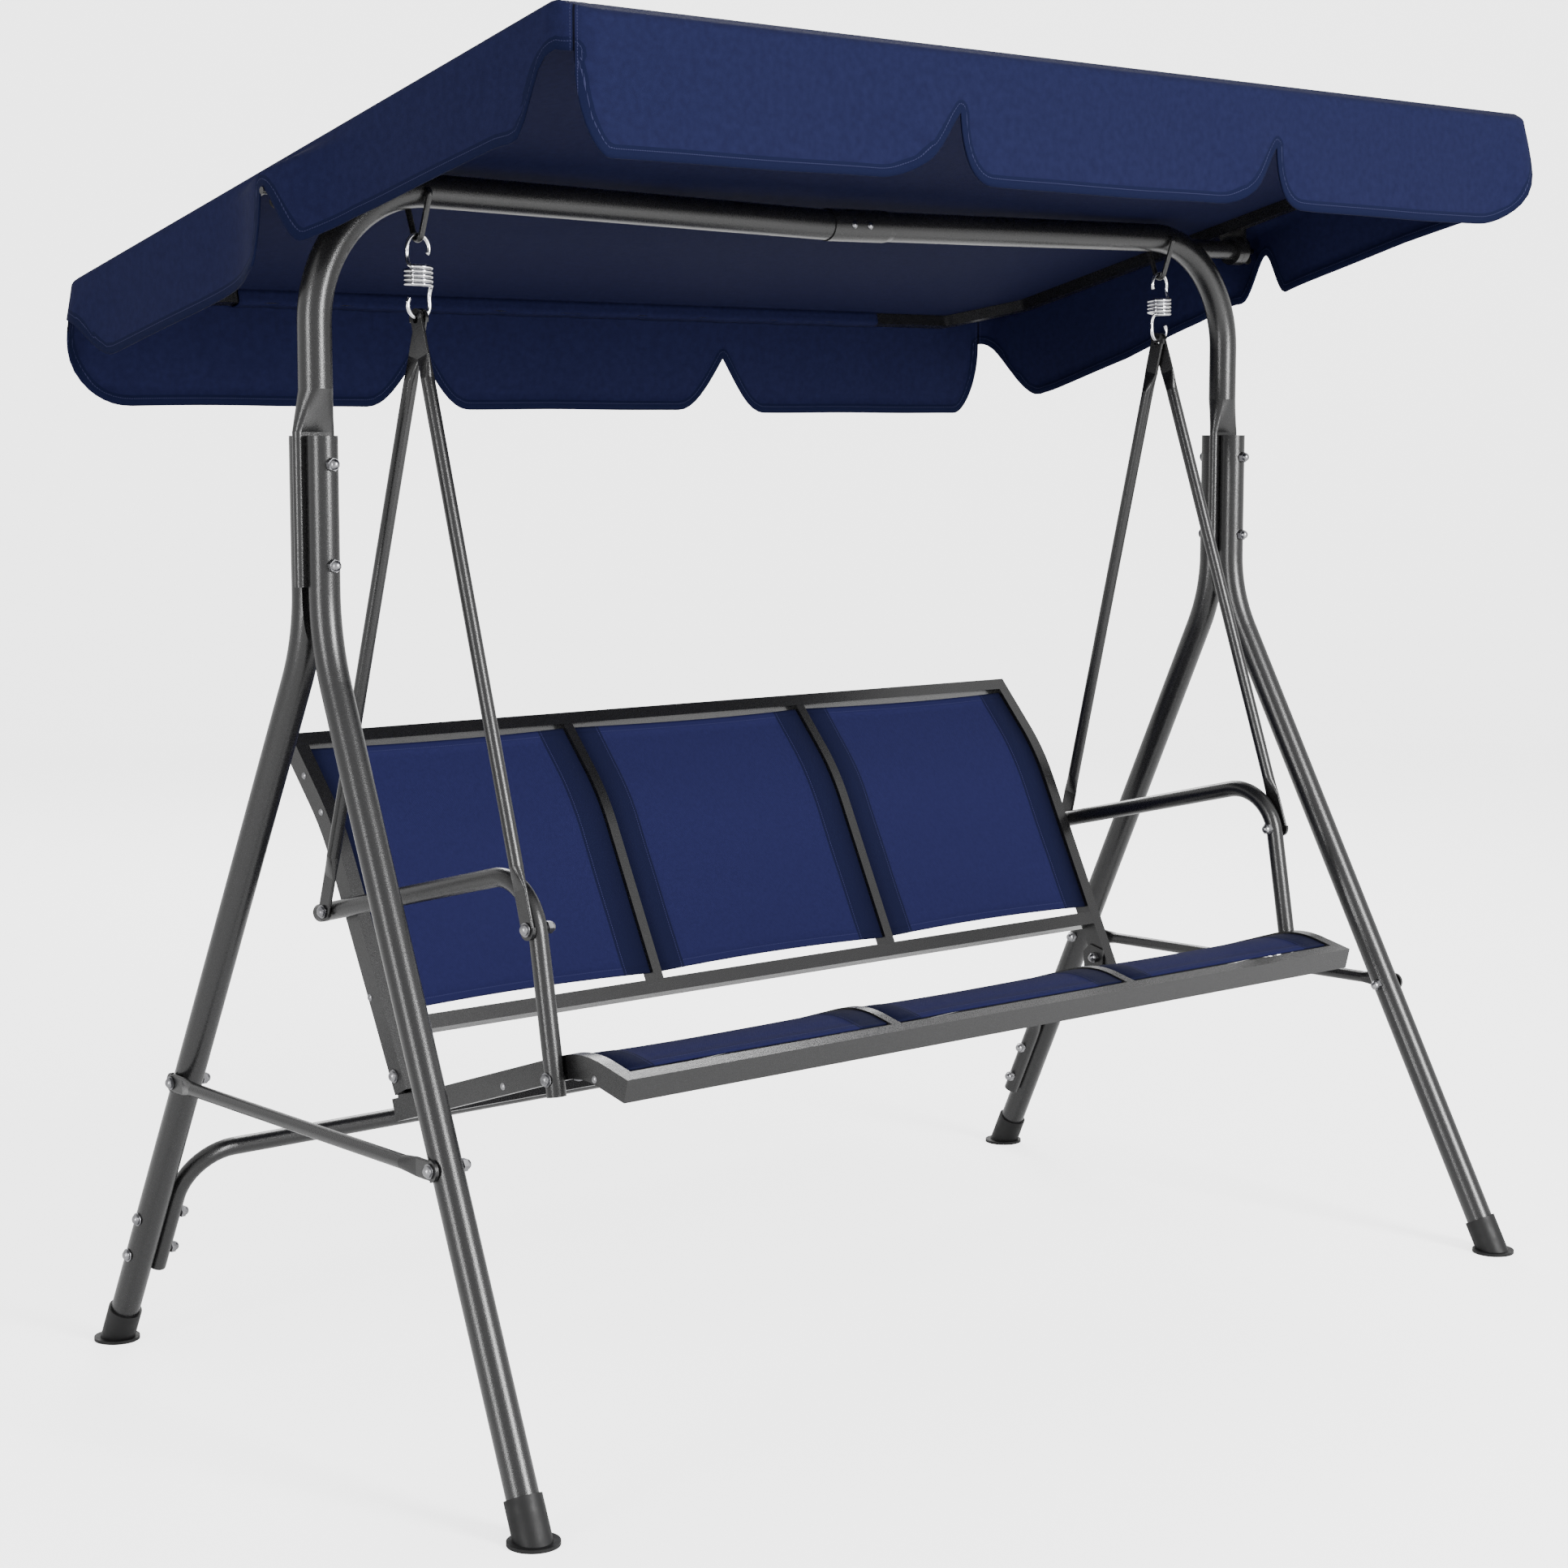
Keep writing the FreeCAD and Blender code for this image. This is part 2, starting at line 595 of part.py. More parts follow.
def wing_nut(name, side):
    """The clamp nut with two wings, turned by hand on the end of the stud."""
    start = bracket_start() + BRACKET_THICK + 0.3
    hub = Part.makeCone(9.5, 7.5, 14, X * start, X)
    wings = []
    for turn in (0, 180):
        wing = Part.makeCylinder(7, 3, Vector(start + 14, 11.5, -1.5), Z)
        bridge = Part.makeBox(9, 8, 3, Vector(start + 4, 5, -1.5))
        wing = wing.fuse(bridge)
        wing.rotate(Vector(), X, turn + 80)
        wings.append(wing)
    nut = hub.fuse(wings).cut(Part.makeCylinder(size("nut_bore") / 2, 40, X * (start - 1), X))
    if side < 0:
        nut = nut.mirror(Vector(), X)
    nut.Placement = Placement(Z * size("pivot_z"), Rotation()).multiply(nut.Placement)
    keep_shape(name, nut)


def canopy_outline(inset):
    """The rounded rectangle of the roof in the canopy's own plane, moved in by an inset."""
    half, front, rear = size("canopy_half") - inset, size("canopy_front") - inset, size("canopy_rear") - inset
    radius, up = size("canopy_round") - inset, size("canopy_lift")
    slant = radius * (1 - math.sqrt(0.5))
    edges = []
    corners = [(half, rear), (-half, rear), (-half, -front), (half, -front)]
    for (x, y), (next_x, next_y) in zip(corners, corners[1:] + corners[:1]):
        sx, sy = math.copysign(1, x), math.copysign(1, y)
        before = Vector(x, y - sy * radius, up) if sx * sy > 0 else Vector(x - sx * radius, y, up)
        after = Vector(x - sx * radius, y, up) if sx * sy > 0 else Vector(x, y - sy * radius, up)
        edges.append(Part.Arc(before, Vector(x - sx * slant, y - sy * slant, up), after).toShape())
        tx, ty = math.copysign(1, next_x), math.copysign(1, next_y)
        target = (Vector(next_x, next_y - ty * radius, up) if tx * ty > 0
                  else Vector(next_x - tx * radius, next_y, up))
        edges.append(Part.LineSegment(after, target).toShape())
    outline = Part.Wire(edges)
    outline.Placement = canopy_place().multiply(outline.Placement)
    return outline


def brow_sheet():
    """The strip of roof in front of the front bar, where the cloth slopes down to the front edge."""
    top = size("canopy_lift") + size("cloth_thick")
    start = -size("canopy_front") + size("brow_depth")
    reach, fall = size("brow_depth") + 20, size("brow_drop") / size("brow_depth")
    profile = [(start, top), (start - reach, top - reach * fall), (start - reach, top - reach * fall + 40),
               (start, top + 40)]
    corners = [canopy_point(-900, along, up) for along, up in profile]
    return Part.Face(Part.makePolygon(corners + corners[:1])).extrude(X * 1800)


def canopy_top():
    """The roof cloth: a thin sheet with round corners on the frame, its front edge sloping down."""
    normal = canopy_place().Rotation.multVec(Z)
    sheet_solid = Part.Face(canopy_outline(0)).extrude(normal * size("cloth_thick"))
    brow = brow_sheet()
    lowered = brow.copy()
    lowered.translate(-normal * size("cloth_thick"))
    plan = Part.Face(canopy_outline(0)).extrude(Z * -200)
    strip = lowered.cut(brow).common(plan)
    keep_shape("canopy_top", sheet_solid.cut(brow).fuse(strip))


def valance(name, drop, reach, notches):
    """A hanging edge: its share of the roof's outline, pulled straight down, with the notches cut out.
    reach is the wedge of the roof's plan that the piece covers, notches are cutting solids."""
    ring = Part.Face(canopy_outline(0)).extrude(Z * -drop)
    ring = ring.cut(Part.Face(canopy_outline(size("cloth_thick"))).extrude(Z * -drop))
    ring.translate(Z * -0.4)
    under_brow = brow_sheet()
    under_brow.translate(Z * -size("cloth_thick") * 1.8)
    piece = ring.common(reach).cut(under_brow)
    for notch in notches:
        piece = piece.cut(notch)
    keep_shape(name, piece)


def plan_wedge(kind):
    """The part of the plan that one valance covers, between 45 degree slits at the roof's corners."""
    half, front, rear, slit = size("canopy_half"), size("canopy_front"), size("canopy_rear"), 1.5
    if kind in SIDES:
        outline = [(half + 100, -front - 100 + slit), (half + 100, rear + 100 - slit),
                   (half - 300, rear - 300 - slit), (half - 300, -front + 300 + slit)]
        outline = [(SIDES[kind] * x, along) for x, along in outline]
    elif kind == "front":
        outline = [(-half - 100, -front - 100 - slit), (half + 100, -front - 100 - slit),
                   (half - 300, -front + 300 - slit), (300 - half, -front + 300 - slit)]
    else:
        outline = [(-half - 100, rear + 100 + slit), (half + 100, rear + 100 + slit),
                   (half - 300, rear - 300 + slit), (300 - half, rear - 300 + slit)]
    corners = [canopy_point(x, along, 0) for x, along in outline]
    low = [Vector(corner.x, corner.y, 900) for corner in corners]
    return Part.Face(Part.makePolygon(low + low[:1])).extrude(Z * 800)


def end_notch(x, y, bottom):
    """A wedge through a front or rear valance: narrow and round at the top, wide at the bottom."""
    tip = bottom + size("notch_height")
    outline = [(x - 9, tip), (x + 9, tip), (x + 48, bottom - 5), (x - 48, bottom - 5)]
    corners = [Vector(px, y - 60, pz) for px, pz in outline]
    wedge = Part.Face(Part.makePolygon(corners + corners[:1])).extrude(Y * 120)
    return wedge.fuse(Part.makeCylinder(9, 120, Vector(x, y - 60, tip), Y))


def side_notch():
    """The same through a side valance: round above the clamp, wider and further forward at the bottom."""
    reach, low = size("notch_round"), size("pivot_z") - size("drop_sides")
    outline = [(-reach, size("pivot_z")), (reach, size("pivot_z")), (reach + 6, low), (-80, low)]
    corners = [Vector(-900, y, z) for y, z in outline]
    wedge = Part.Face(Part.makePolygon(corners + corners[:1])).extrude(X * 1800)
    return wedge.fuse(Part.makeCylinder(reach, 1800, Vector(-900, 0, size("pivot_z")), X))


def canopy_cloth():
    """Roof and four valances; the front and rear ones have two notches, the side ones one."""
    canopy_top()
    for kind, along in (("front", -size("canopy_front")), ("rear", size("canopy_rear"))):
        edge, drop = canopy_point(0, along, size("canopy_lift")), size("drop_" + kind)
        notches = [end_notch(x, edge.y, edge.z - drop) for x in (-265, 265)]
        valance("valance_" + kind, drop, plan_wedge(kind), notches)
    for kind in SIDES:
        valance("valance_" + kind, size("drop_sides"), plan_wedge(kind), [side_notch()])


# ---------------------------------------------------------------- springs and hangers

def spring(name, side):
    """A close-wound extension spring: an upper hook open towards the middle, a lower hook open outwards."""
    top, wire = size("swing_axis_z"), size("wire_dia")
    ring = (size("spring_dia") - wire) / 2
    height = size("spring_turns") * size("spring_pitch")
    middle = top - ring - (size("spring_reach") - 2 * ring) / 2
    riser = (size("spring_reach") - 2 * ring - height) / 2
    points = []
    for step in range(15):
        angle = -0.5 + (math.pi + 0.5) * step / 14
        points.append(Vector(ring * math.cos(angle), 0, top - ring + ring * math.sin(angle)))
    points.append(Vector(-ring, 0, top - ring - riser * 0.6))
    steps = round(size("spring_turns") * 16)
    for step in range(1, steps):
        angle = math.pi + 2 * math.pi * size("spring_turns") * step / steps
        level = middle + height / 2 - height * step / steps
        points.append(Vector(ring * math.cos(angle), ring * math.sin(angle), level))
    points += [Vector(-point.x, 0, 2 * middle - point.z) for point in reversed(points[:16])]
    line = Part.BSplineCurve()
    line.interpolate([Vector(-side * point.x, point.y, point.z) for point in points])
    path = Part.Wire(line.toShape())
    start = path.Edges[0]
    begin = start.FirstParameter
    disc = Part.Wire(Part.makeCircle(wire / 2, start.valueAt(begin), start.tangentAt(begin)))
    body = path.makePipeShell([disc], True, False)
    body.translate(X * side * size("hanger_x"))
    keep_shape(name, body)


def lower_hook_z():
    return size("swing_axis_z") - size("spring_reach")


def hanger_hole_z():
    """The spring's lower hook lies at the top of the hangers' holes."""
    return lower_hook_z() - size("hanger_hole") / 2 + size("wire_dia") / 2 + 1.3


def hanger(name, side, end):
    """A tube from the spring down to one end of the armrest, pressed flat at both ends."""
    apart = 2.8 if end == "front" else -2.8
    y, z = ARMREST_FRONT_BOLT if end == "front" else ARMREST_REAR_BOLT
    top = Vector(side * (size("hanger_x") + apart), 0, hanger_hole_z())
    bottom = Vector(side * (armrest_x() + size("armrest_dia") / 2 + size("flat_thick") / 2 + 0.7), y, z)
    form = flattened(top, bottom, size("hanger_dia"), size("thin_wall"), 44, size("hanger_hole"), X)
    keep_shape(name, form)


# ---------------------------------------------------------------- seat: side views as (y, z)

SEAT_LINE = [(82, 325), (-277, 438), (-337, 423.5)]
BACK_LINE = [(68, 349), (215.7, 650), (288.9, 733.2)]
SEAT_BEND, BACK_BEND = 120, 300
ARMREST_LINE = [(-248, 398), (-206, 643), (214, 545.6)]
BOTTOM_RAIL_AT = 76
BRACKET_PLATE = 3
ARMREST_LOW_BOLT = (-244.7, 417.5)
ARMREST_FRONT_BOLT = (-216.8, 580)
ARMREST_REAR_BOLT = (185, 552.3)
BACK_BOLT = (80.5, 366)
SLING_SCREWS = [(-134, 389), (-300, 424), (129, 453), (227, 665), (263, 706)]


def armrest_x():
    return size("seat_half") + size("armrest_dia") / 2 + 0.2


def armrest(name, side):
    """A bent tube: up from the seat rail, over and back to the backrest."""
    x = side * armrest_x()
    tube = round_tube(name + "_tube", at_x(x, ARMREST_LINE), [size("armrest_bend")], "armrest_dia", "thin_wall")
    places = (ARMREST_LOW_BOLT, ARMREST_FRONT_BOLT, ARMREST_REAR_BOLT)
    drilled(tube, name, [(Vector(x, y, z), X) for y, z in places], 60)


def rail_x(side):
    return side * (size("seat_half") - size("rail_width") / 2)


def run_direction(line, last):
    """Unit direction of a side view's first or last run, towards its far end."""
    a, b = (line[-2], line[-1]) if last else (line[0], line[1])
    return Vector(0, b[0] - a[0], b[1] - a[1]).normalize()


def seat_side_rail(name, side):
    x = rail_x(side)
    rail = box_tube(name + "_tube", at_x(x, SEAT_LINE), [SEAT_BEND], "rail_depth", "rail_width", "rail_wall")
    drilled(rail, name, [(Vector(x, *ARMREST_LOW_BOLT), X)])


def back_side_rail(name, side):
    x = rail_x(side)
    rail = box_tube(name + "_tube", at_x(x, BACK_LINE), [BACK_BEND], "back_depth", "rail_width", "rail_wall")
    drilled(rail, name, [(Vector(x, *place), X) for place in (ARMREST_REAR_BOLT, BACK_BOLT)])


def cross_rail(name, centre, direction, half_length, depth):
    """A straight rail along X; its width lies along the side view's direction."""
    points = [centre - X * half_length, centre + X * half_length]
    keep(box_tube(name + "_tube", points, [], depth, "rail_width", "rail_wall", direction), name)


def between_rails():
    return size("seat_half") - size("rail_width") - 0.1


def along_line(line, distance, last=False):
    """A point on the first run of a side view, or measured back from its end on the last run."""
    if last:
        return Vector(0, *line[-1]) - run_direction(line, True) * distance
    return Vector(0, *line[0]) + run_direction(line, False) * distance


def seat_frame():
    for kind, side in SIDES.items():
        seat_side_rail("seat_side_rail_" + kind, side)
    width = size("rail_width")
    front = run_direction(SEAT_LINE, True)
    cross_rail("seat_front_rail", along_line(SEAT_LINE, -width / 2 - 0.1, True), front,
               size("seat_half"), "rail_depth")
    rear = run_direction(SEAT_LINE, False)
    cross_rail("seat_rear_rail", along_line(SEAT_LINE, width / 2 + 1), rear,
               between_rails() - BRACKET_PLATE - 0.3, "rail_depth")


def back_frame():
    for kind, side in SIDES.items():
        back_side_rail("back_side_rail_" + kind, side)
    width = size("rail_width")
    cross_rail("back_top_rail", along_line(BACK_LINE, -width / 2 - 0.1, True),
               run_direction(BACK_LINE, True), size("seat_half"), "back_depth")
    cross_rail("back_bottom_rail", along_line(BACK_LINE, BOTTOM_RAIL_AT), run_direction(BACK_LINE, False),
               between_rails(), "back_depth")


def rail_end_plates():
    """Thin plates welded flush into the open ends of the seat's front rail and of the back's top rail."""
    plates, thick = [], 1.5
    for line, depth in ((SEAT_LINE, "rail_depth"), (BACK_LINE, "back_depth")):
        ahead = run_direction(line, True)
        across = X.cross(ahead)
        centre = along_line(line, -size("rail_width") / 2 - 0.1, True)
        half_width = size("rail_width") / 2 - size("rail_wall") - 0.05
        half_depth = size(depth) / 2 - size("rail_wall") - 0.05
        for side in SIDES.values():
            middle = centre + X * side * (size("seat_half") - thick)
            corners = [middle + ahead * a * half_width + across * b * half_depth
                       for a, b in ((-1, -1), (1, -1), (1, 1), (-1, 1))]
            plates.append(Part.Face(Part.makePolygon(corners + corners[:1])).extrude(X * side * thick))
    keep_shape("rail_end_plates", Part.makeCompound(plates))


def between(line, start, end):
    """A side view shortened by a distance at its start and at its end."""
    return ([tuple(along_line(line, start))[1:]] + line[1:-1]
            + [tuple(along_line(line, end, True))[1:]])


def dividers(name, line, bend, up):
    """Two curved bars that part the three panels, as one group."""
    bars = []
    for x in (-size("divider_x"), size("divider_x")):
        outer = offset_route(at_x(x, line), up)
        solids = []
        for inset in (0, size("rail_wall")):
            place = plane_of(outer, X)
            depth, width = size("divider_depth") - 2 * inset, size("divider_width") - 2 * inset
            corners = [Vector(0, a * depth / 2, b * width / 2)
                       for a, b in ((-1, -1), (1, -1), (1, 1), (-1, 1), (-1, -1))]
            section = Part.makePolygon([place.multVec(corner) for corner in corners])
            solids.append(wire_of(outer, [bend]).makePipeShell([section], True, True))
        bars.append(solids[0].cut(solids[1]))
    keep_shape(name, Part.makeCompound(bars))


def slings(prefix, line, bend, up):
    """Three stretched cloth panels between the side rails and the dividers."""
    rail_face = size("seat_half") - size("rail_width")
    gap = size("divider_x") + size("divider_width") / 2
    side_width = "<<sizes>>.seat_half - <<sizes>>.rail_width - <<sizes>>.divider_x" \
                 " - <<sizes>>.divider_width / 2 - 2 * <<sizes>>.sling_play"
    middle_width = "2 * <<sizes>>.divider_x - <<sizes>>.divider_width - 2 * <<sizes>>.sling_play"
    for kind, centre, width in (("left", -(rail_face + gap) / 2, side_width), ("centre", 0, middle_width),
                                ("right", (rail_face + gap) / 2, side_width)):
        name = "%s_sling_%s" % (prefix, kind)
        route = offset_route(at_x(centre, line), up)
        keep(cloth_strip(name + "_body", route, [bend], width), name)


def seat_back_brackets():
    """Two plates, each welded inside a seat rail's rear end and bolted to the back rail above it."""
    plates = []
    for side in SIDES.values():
        face = side * (size("seat_half") - size("rail_width") - 0.1)
        outline = [(98, 316), (66, 326), (66, 378), (92, 384), (104, 372)]
        corners = [Vector(face, y, z) for y, z in outline]
        plate = Part.Face(Part.makePolygon(corners + corners[:1])).extrude(X * -side * BRACKET_PLATE)
        plates.append(drill_shape(plate, [(Vector(face, *BACK_BOLT), X)]))
    keep_shape("seat_back_brackets", Part.makeCompound(plates))


def seat_bolts():
    """Through bolts of the seat: three per armrest and one per backrest bracket."""
    solids = []
    outside = armrest_x() + size("armrest_dia") / 2 + 0.2
    hanger_face = outside + size("flat_thick") + 1.3
    inside = size("seat_half") - size("rail_width") - 0.2
    armrest_inside = armrest_x() - size("armrest_dia") / 2 - 0.2
    for side in SIDES.values():
        for (y, z), outer, inner in ((ARMREST_LOW_BOLT, outside, inside),
                                     (ARMREST_REAR_BOLT, hanger_face, inside),
                                     (ARMREST_FRONT_BOLT, hanger_face, armrest_inside),
                                     (BACK_BOLT, size("seat_half") + 0.1, inside - 3.2)):
            solids += bolt_and_nut(Vector(side * outer, y, z), Vector(side * inner, y, z))
    keep_shape("seat_bolts", Part.makeCompound(solids))


def sling_screws():
    """Small screws in the outer faces of the side rails that hold the slings' edge rods."""
    places = [Vector(0, y, z) for y, z in SLING_SCREWS]
    screws = []
    for side in SIDES.values():
        for place in places:
            face = place + X * side * (size("seat_half") + 0.1)
            head = Part.makeSphere(5.2, face - X * side * 3).common(
                cylinder(face, face + X * side * 3, 9))
            screws.append(head)
    keep_shape("sling_screws", Part.makeCompound(screws))


# ---------------------------------------------------------------- the whole swing

for kind, side in SIDES.items():
    for end in ("front", "rear"):
        leg("%s_leg_%s" % (end, kind), side, end)
        foot_cap("%s_foot_%s" % (end, kind), side, end)
    top_beam("top_beam_" + kind, side)
    side_brace("side_brace_" + kind, side)
    swing_hook("swing_hook_" + kind, side)
    pivot_stub("pivot_stub_" + kind, side)
beam_screws()
rear_crossbar()
stand_bolts()

for kind, side in SIDES.items():
    canopy_arm("canopy_arm_" + kind, side)
    canopy_bracket("canopy_bracket_" + kind, side)
    wing_nut("wing_nut_" + kind, side)
canopy_bar("canopy_front_bar", bar_ends()[0])
canopy_bar("canopy_rear_bar", bar_ends()[1])
canopy_cloth()

for kind, side in SIDES.items():
    spring("spring_" + kind, side)
    armrest("armrest_" + kind, side)
    for end in ("front", "rear"):
        hanger("%s_hanger_%s" % (end, kind), side, end)
seat_frame()
back_frame()
dividers("seat_dividers", between(SEAT_LINE, 20.5, 0.2), SEAT_BEND, -3)
dividers("back_dividers", between(BACK_LINE, BOTTOM_RAIL_AT + 9.2, 0.2), BACK_BEND, 2)
slings("seat", between(SEAT_LINE, 24, 14), SEAT_BEND, -8)
slings("back", between(BACK_LINE, BOTTOM_RAIL_AT + 19, 3), BACK_BEND, 6)
seat_back_brackets()
rail_end_plates()
seat_bolts()
sling_screws()

doc.recompute()
for piece in pieces:
    piece.Placement = Placement(Vector(0, -size("origin_back"), 0), Rotation()).multiply(piece.Placement)
doc.recompute()

for thing in doc.Objects:
    if "Invalid" in thing.State or "Error" in thing.State:
        raise RuntimeError("%s failed: %s" % (thing.Name, thing.State))
os.makedirs("parts", exist_ok=True)
whole = FreeCAD.BoundBox()
for piece in pieces:
    if piece.Shape.isNull() or not piece.Shape.isValid():
        raise RuntimeError(piece.Label + " has no valid shape")
    whole.add(piece.Shape.optimalBoundingBox())
    piece.Shape.exportStep("parts/%s.step" % piece.Label)
print(len(pieces), "pieces, box", [round(v, 1) for v in (whole.XMin, whole.XMax, whole.YMin, whole.YMax,
                                                         whole.ZMin, whole.ZMax)])
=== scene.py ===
import math

import bmesh
import bpy
from mathutils import Matrix, Vector


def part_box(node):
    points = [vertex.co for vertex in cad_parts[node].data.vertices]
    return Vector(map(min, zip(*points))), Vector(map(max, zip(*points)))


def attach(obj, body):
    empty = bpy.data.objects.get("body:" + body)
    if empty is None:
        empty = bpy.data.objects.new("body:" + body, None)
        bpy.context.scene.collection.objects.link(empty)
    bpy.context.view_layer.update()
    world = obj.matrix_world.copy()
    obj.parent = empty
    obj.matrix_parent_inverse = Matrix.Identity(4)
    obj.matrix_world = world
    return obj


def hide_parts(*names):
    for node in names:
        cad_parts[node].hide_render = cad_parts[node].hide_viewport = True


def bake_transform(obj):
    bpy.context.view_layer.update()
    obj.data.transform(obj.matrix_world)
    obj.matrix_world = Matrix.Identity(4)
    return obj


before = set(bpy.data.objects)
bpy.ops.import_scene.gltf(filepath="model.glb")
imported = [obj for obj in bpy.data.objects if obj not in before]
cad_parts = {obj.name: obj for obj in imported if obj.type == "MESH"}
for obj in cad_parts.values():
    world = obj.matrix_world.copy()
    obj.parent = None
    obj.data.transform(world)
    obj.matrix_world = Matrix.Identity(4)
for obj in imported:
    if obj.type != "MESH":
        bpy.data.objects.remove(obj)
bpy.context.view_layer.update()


# ---------------------------------------------------------------- showroom floor, soft light and camera
# A pale seamless floor that turns up into a wall far behind, so the swing stands on a soft shadow.
# A large soft lamp in front, a narrow one on the left for the legs' highlights, and one high behind.

FLOOR_REACH, FLOOR_RISE, FLOOR_BEND = 9.0, 4.0, 2.5
FLOOR_TURN, VIEW_TURN = -41.7, -41.717
FLOOR_LIFT = 2.4
ROOM_LIGHT, ROOM_SEEN = 1.25, 4.5
LAMP_AIM = (0, 0, 0.8)

floor_mesh = bmesh.new()
bmesh.ops.create_grid(floor_mesh, x_segments=1, y_segments=1, size=FLOOR_REACH)
back_edge = [e for e in floor_mesh.edges if all(v.co.y > FLOOR_REACH - 0.1 for v in e.verts)]
raised = bmesh.ops.extrude_edge_only(floor_mesh, edges=back_edge)["geom"]
for corner in raised:
    if isinstance(corner, bmesh.types.BMVert):
        corner.co.z += FLOOR_RISE
bend = [e for e in floor_mesh.edges if all(abs(v.co.y - FLOOR_REACH) < 0.1 and v.co.z < 0.1 for v in e.verts)]
bmesh.ops.bevel(floor_mesh, geom=bend, offset=FLOOR_BEND, offset_type="OFFSET", segments=12, profile=0.5,
                affect="EDGES", material=-1)
for corner in floor_mesh.verts:
    corner.co = Matrix.Rotation(math.radians(FLOOR_TURN), 3, "Z") @ corner.co
floor_data = bpy.data.meshes.new("studio_floor")
floor_mesh.to_mesh(floor_data)
floor_mesh.free()
floor = bpy.data.objects.new("studio_floor", floor_data)
bpy.context.scene.collection.objects.link(floor)
floor_paint = bpy.data.materials.new("studio_floor_paint")
floor_paint.use_nodes = True
floor_nodes = floor_paint.node_tree
floor_shader = floor_nodes.nodes["Principled BSDF"]
floor_shader.inputs["Base Color"].default_value = (0.80, 0.80, 0.80, 1)
floor_shader.inputs["Roughness"].default_value = 0.9
floor_shader.inputs["Specular IOR Level"].default_value = 0.1
floor_shader.inputs["Emission Color"].default_value = (1, 1, 1, 1)
seen_floor = floor_nodes.nodes.new("ShaderNodeMath")
seen_floor.operation = "MULTIPLY"
seen_floor.inputs[1].default_value = FLOOR_LIFT
floor_nodes.links.new(floor_nodes.nodes.new("ShaderNodeLightPath").outputs["Is Camera Ray"], seen_floor.inputs[0])
floor_nodes.links.new(seen_floor.outputs[0], floor_shader.inputs["Emission Strength"])
floor_data.materials.append(floor_paint)


def soft_lamp(name, place, width, height, power):
    """A rectangular studio lamp that looks at the swing's middle."""
    lamp = bpy.data.lights.new(name, "AREA")
    lamp.shape = "RECTANGLE"
    lamp.size, lamp.size_y, lamp.energy = width, height, power
    holder = bpy.data.objects.new(name, lamp)
    holder.location = place
    holder.rotation_euler = (Vector(LAMP_AIM) - Vector(place)).to_track_quat("-Z", "Y").to_euler()
    bpy.context.scene.collection.objects.link(holder)


soft_lamp("lamp_key", (0.6, -5.2, 2.4), 1.4, 2.8, 620)
soft_lamp("lamp_left", (-5.2, -1.0, 1.4), 0.5, 2.8, 150)
soft_lamp("lamp_back", (2.6, 3.6, 3.4), 2.0, 2.0, 160)

room = bpy.data.worlds.new("room")
room.use_nodes = True
room.node_tree.nodes["Background"].inputs["Color"].default_value = (1, 1, 1, 1)
seen_room = room.node_tree.nodes.new("ShaderNodeMath")
seen_room.operation = "MULTIPLY_ADD"
seen_room.inputs[1].default_value = ROOM_SEEN - ROOM_LIGHT
seen_room.inputs[2].default_value = ROOM_LIGHT
room_path = room.node_tree.nodes.new("ShaderNodeLightPath")
room.node_tree.links.new(room_path.outputs["Is Camera Ray"], seen_room.inputs[0])
room.node_tree.links.new(seen_room.outputs[0], room.node_tree.nodes["Background"].inputs["Strength"])
bpy.context.scene.world = room

lens = bpy.data.cameras.new("studio_camera")
lens.lens = 68.96
lens.sensor_width = 36
lens.dof.use_dof = False
camera = bpy.data.objects.new("studio_camera", lens)
camera.location = (-2.5826, -2.8224, 1.1164)
camera.rotation_euler = (math.radians(90 - 6.656), 0, math.radians(VIEW_TURN))
bpy.context.scene.collection.objects.link(camera)
bpy.context.scene.camera = camera


# ---------------------------------------------------------------- stand: legs, beam, braces and crossbar
# Thin steel tube, bent cold and powder coated in satin dark grey after welding.
# The coat has a fine orange peel, and small lighter specks where it is thinner.

def noise_shade(tree, coords, scale, detail, low, high):
    """Noise over the surface, spread between two values."""
    noise = tree.nodes.new("ShaderNodeTexNoise")
    noise.inputs["Scale"].default_value = scale
    noise.inputs["Detail"].default_value = detail
    tree.links.new(coords, noise.inputs["Vector"])
    spread = tree.nodes.new("ShaderNodeMapRange")
    spread.inputs["From Min"].default_value = 0.3
    spread.inputs["From Max"].default_value = 0.7
    spread.inputs["To Min"].default_value = low
    spread.inputs["To Max"].default_value = high
    tree.links.new(noise.outputs["Fac"], spread.inputs["Value"])
    return spread.outputs["Result"]


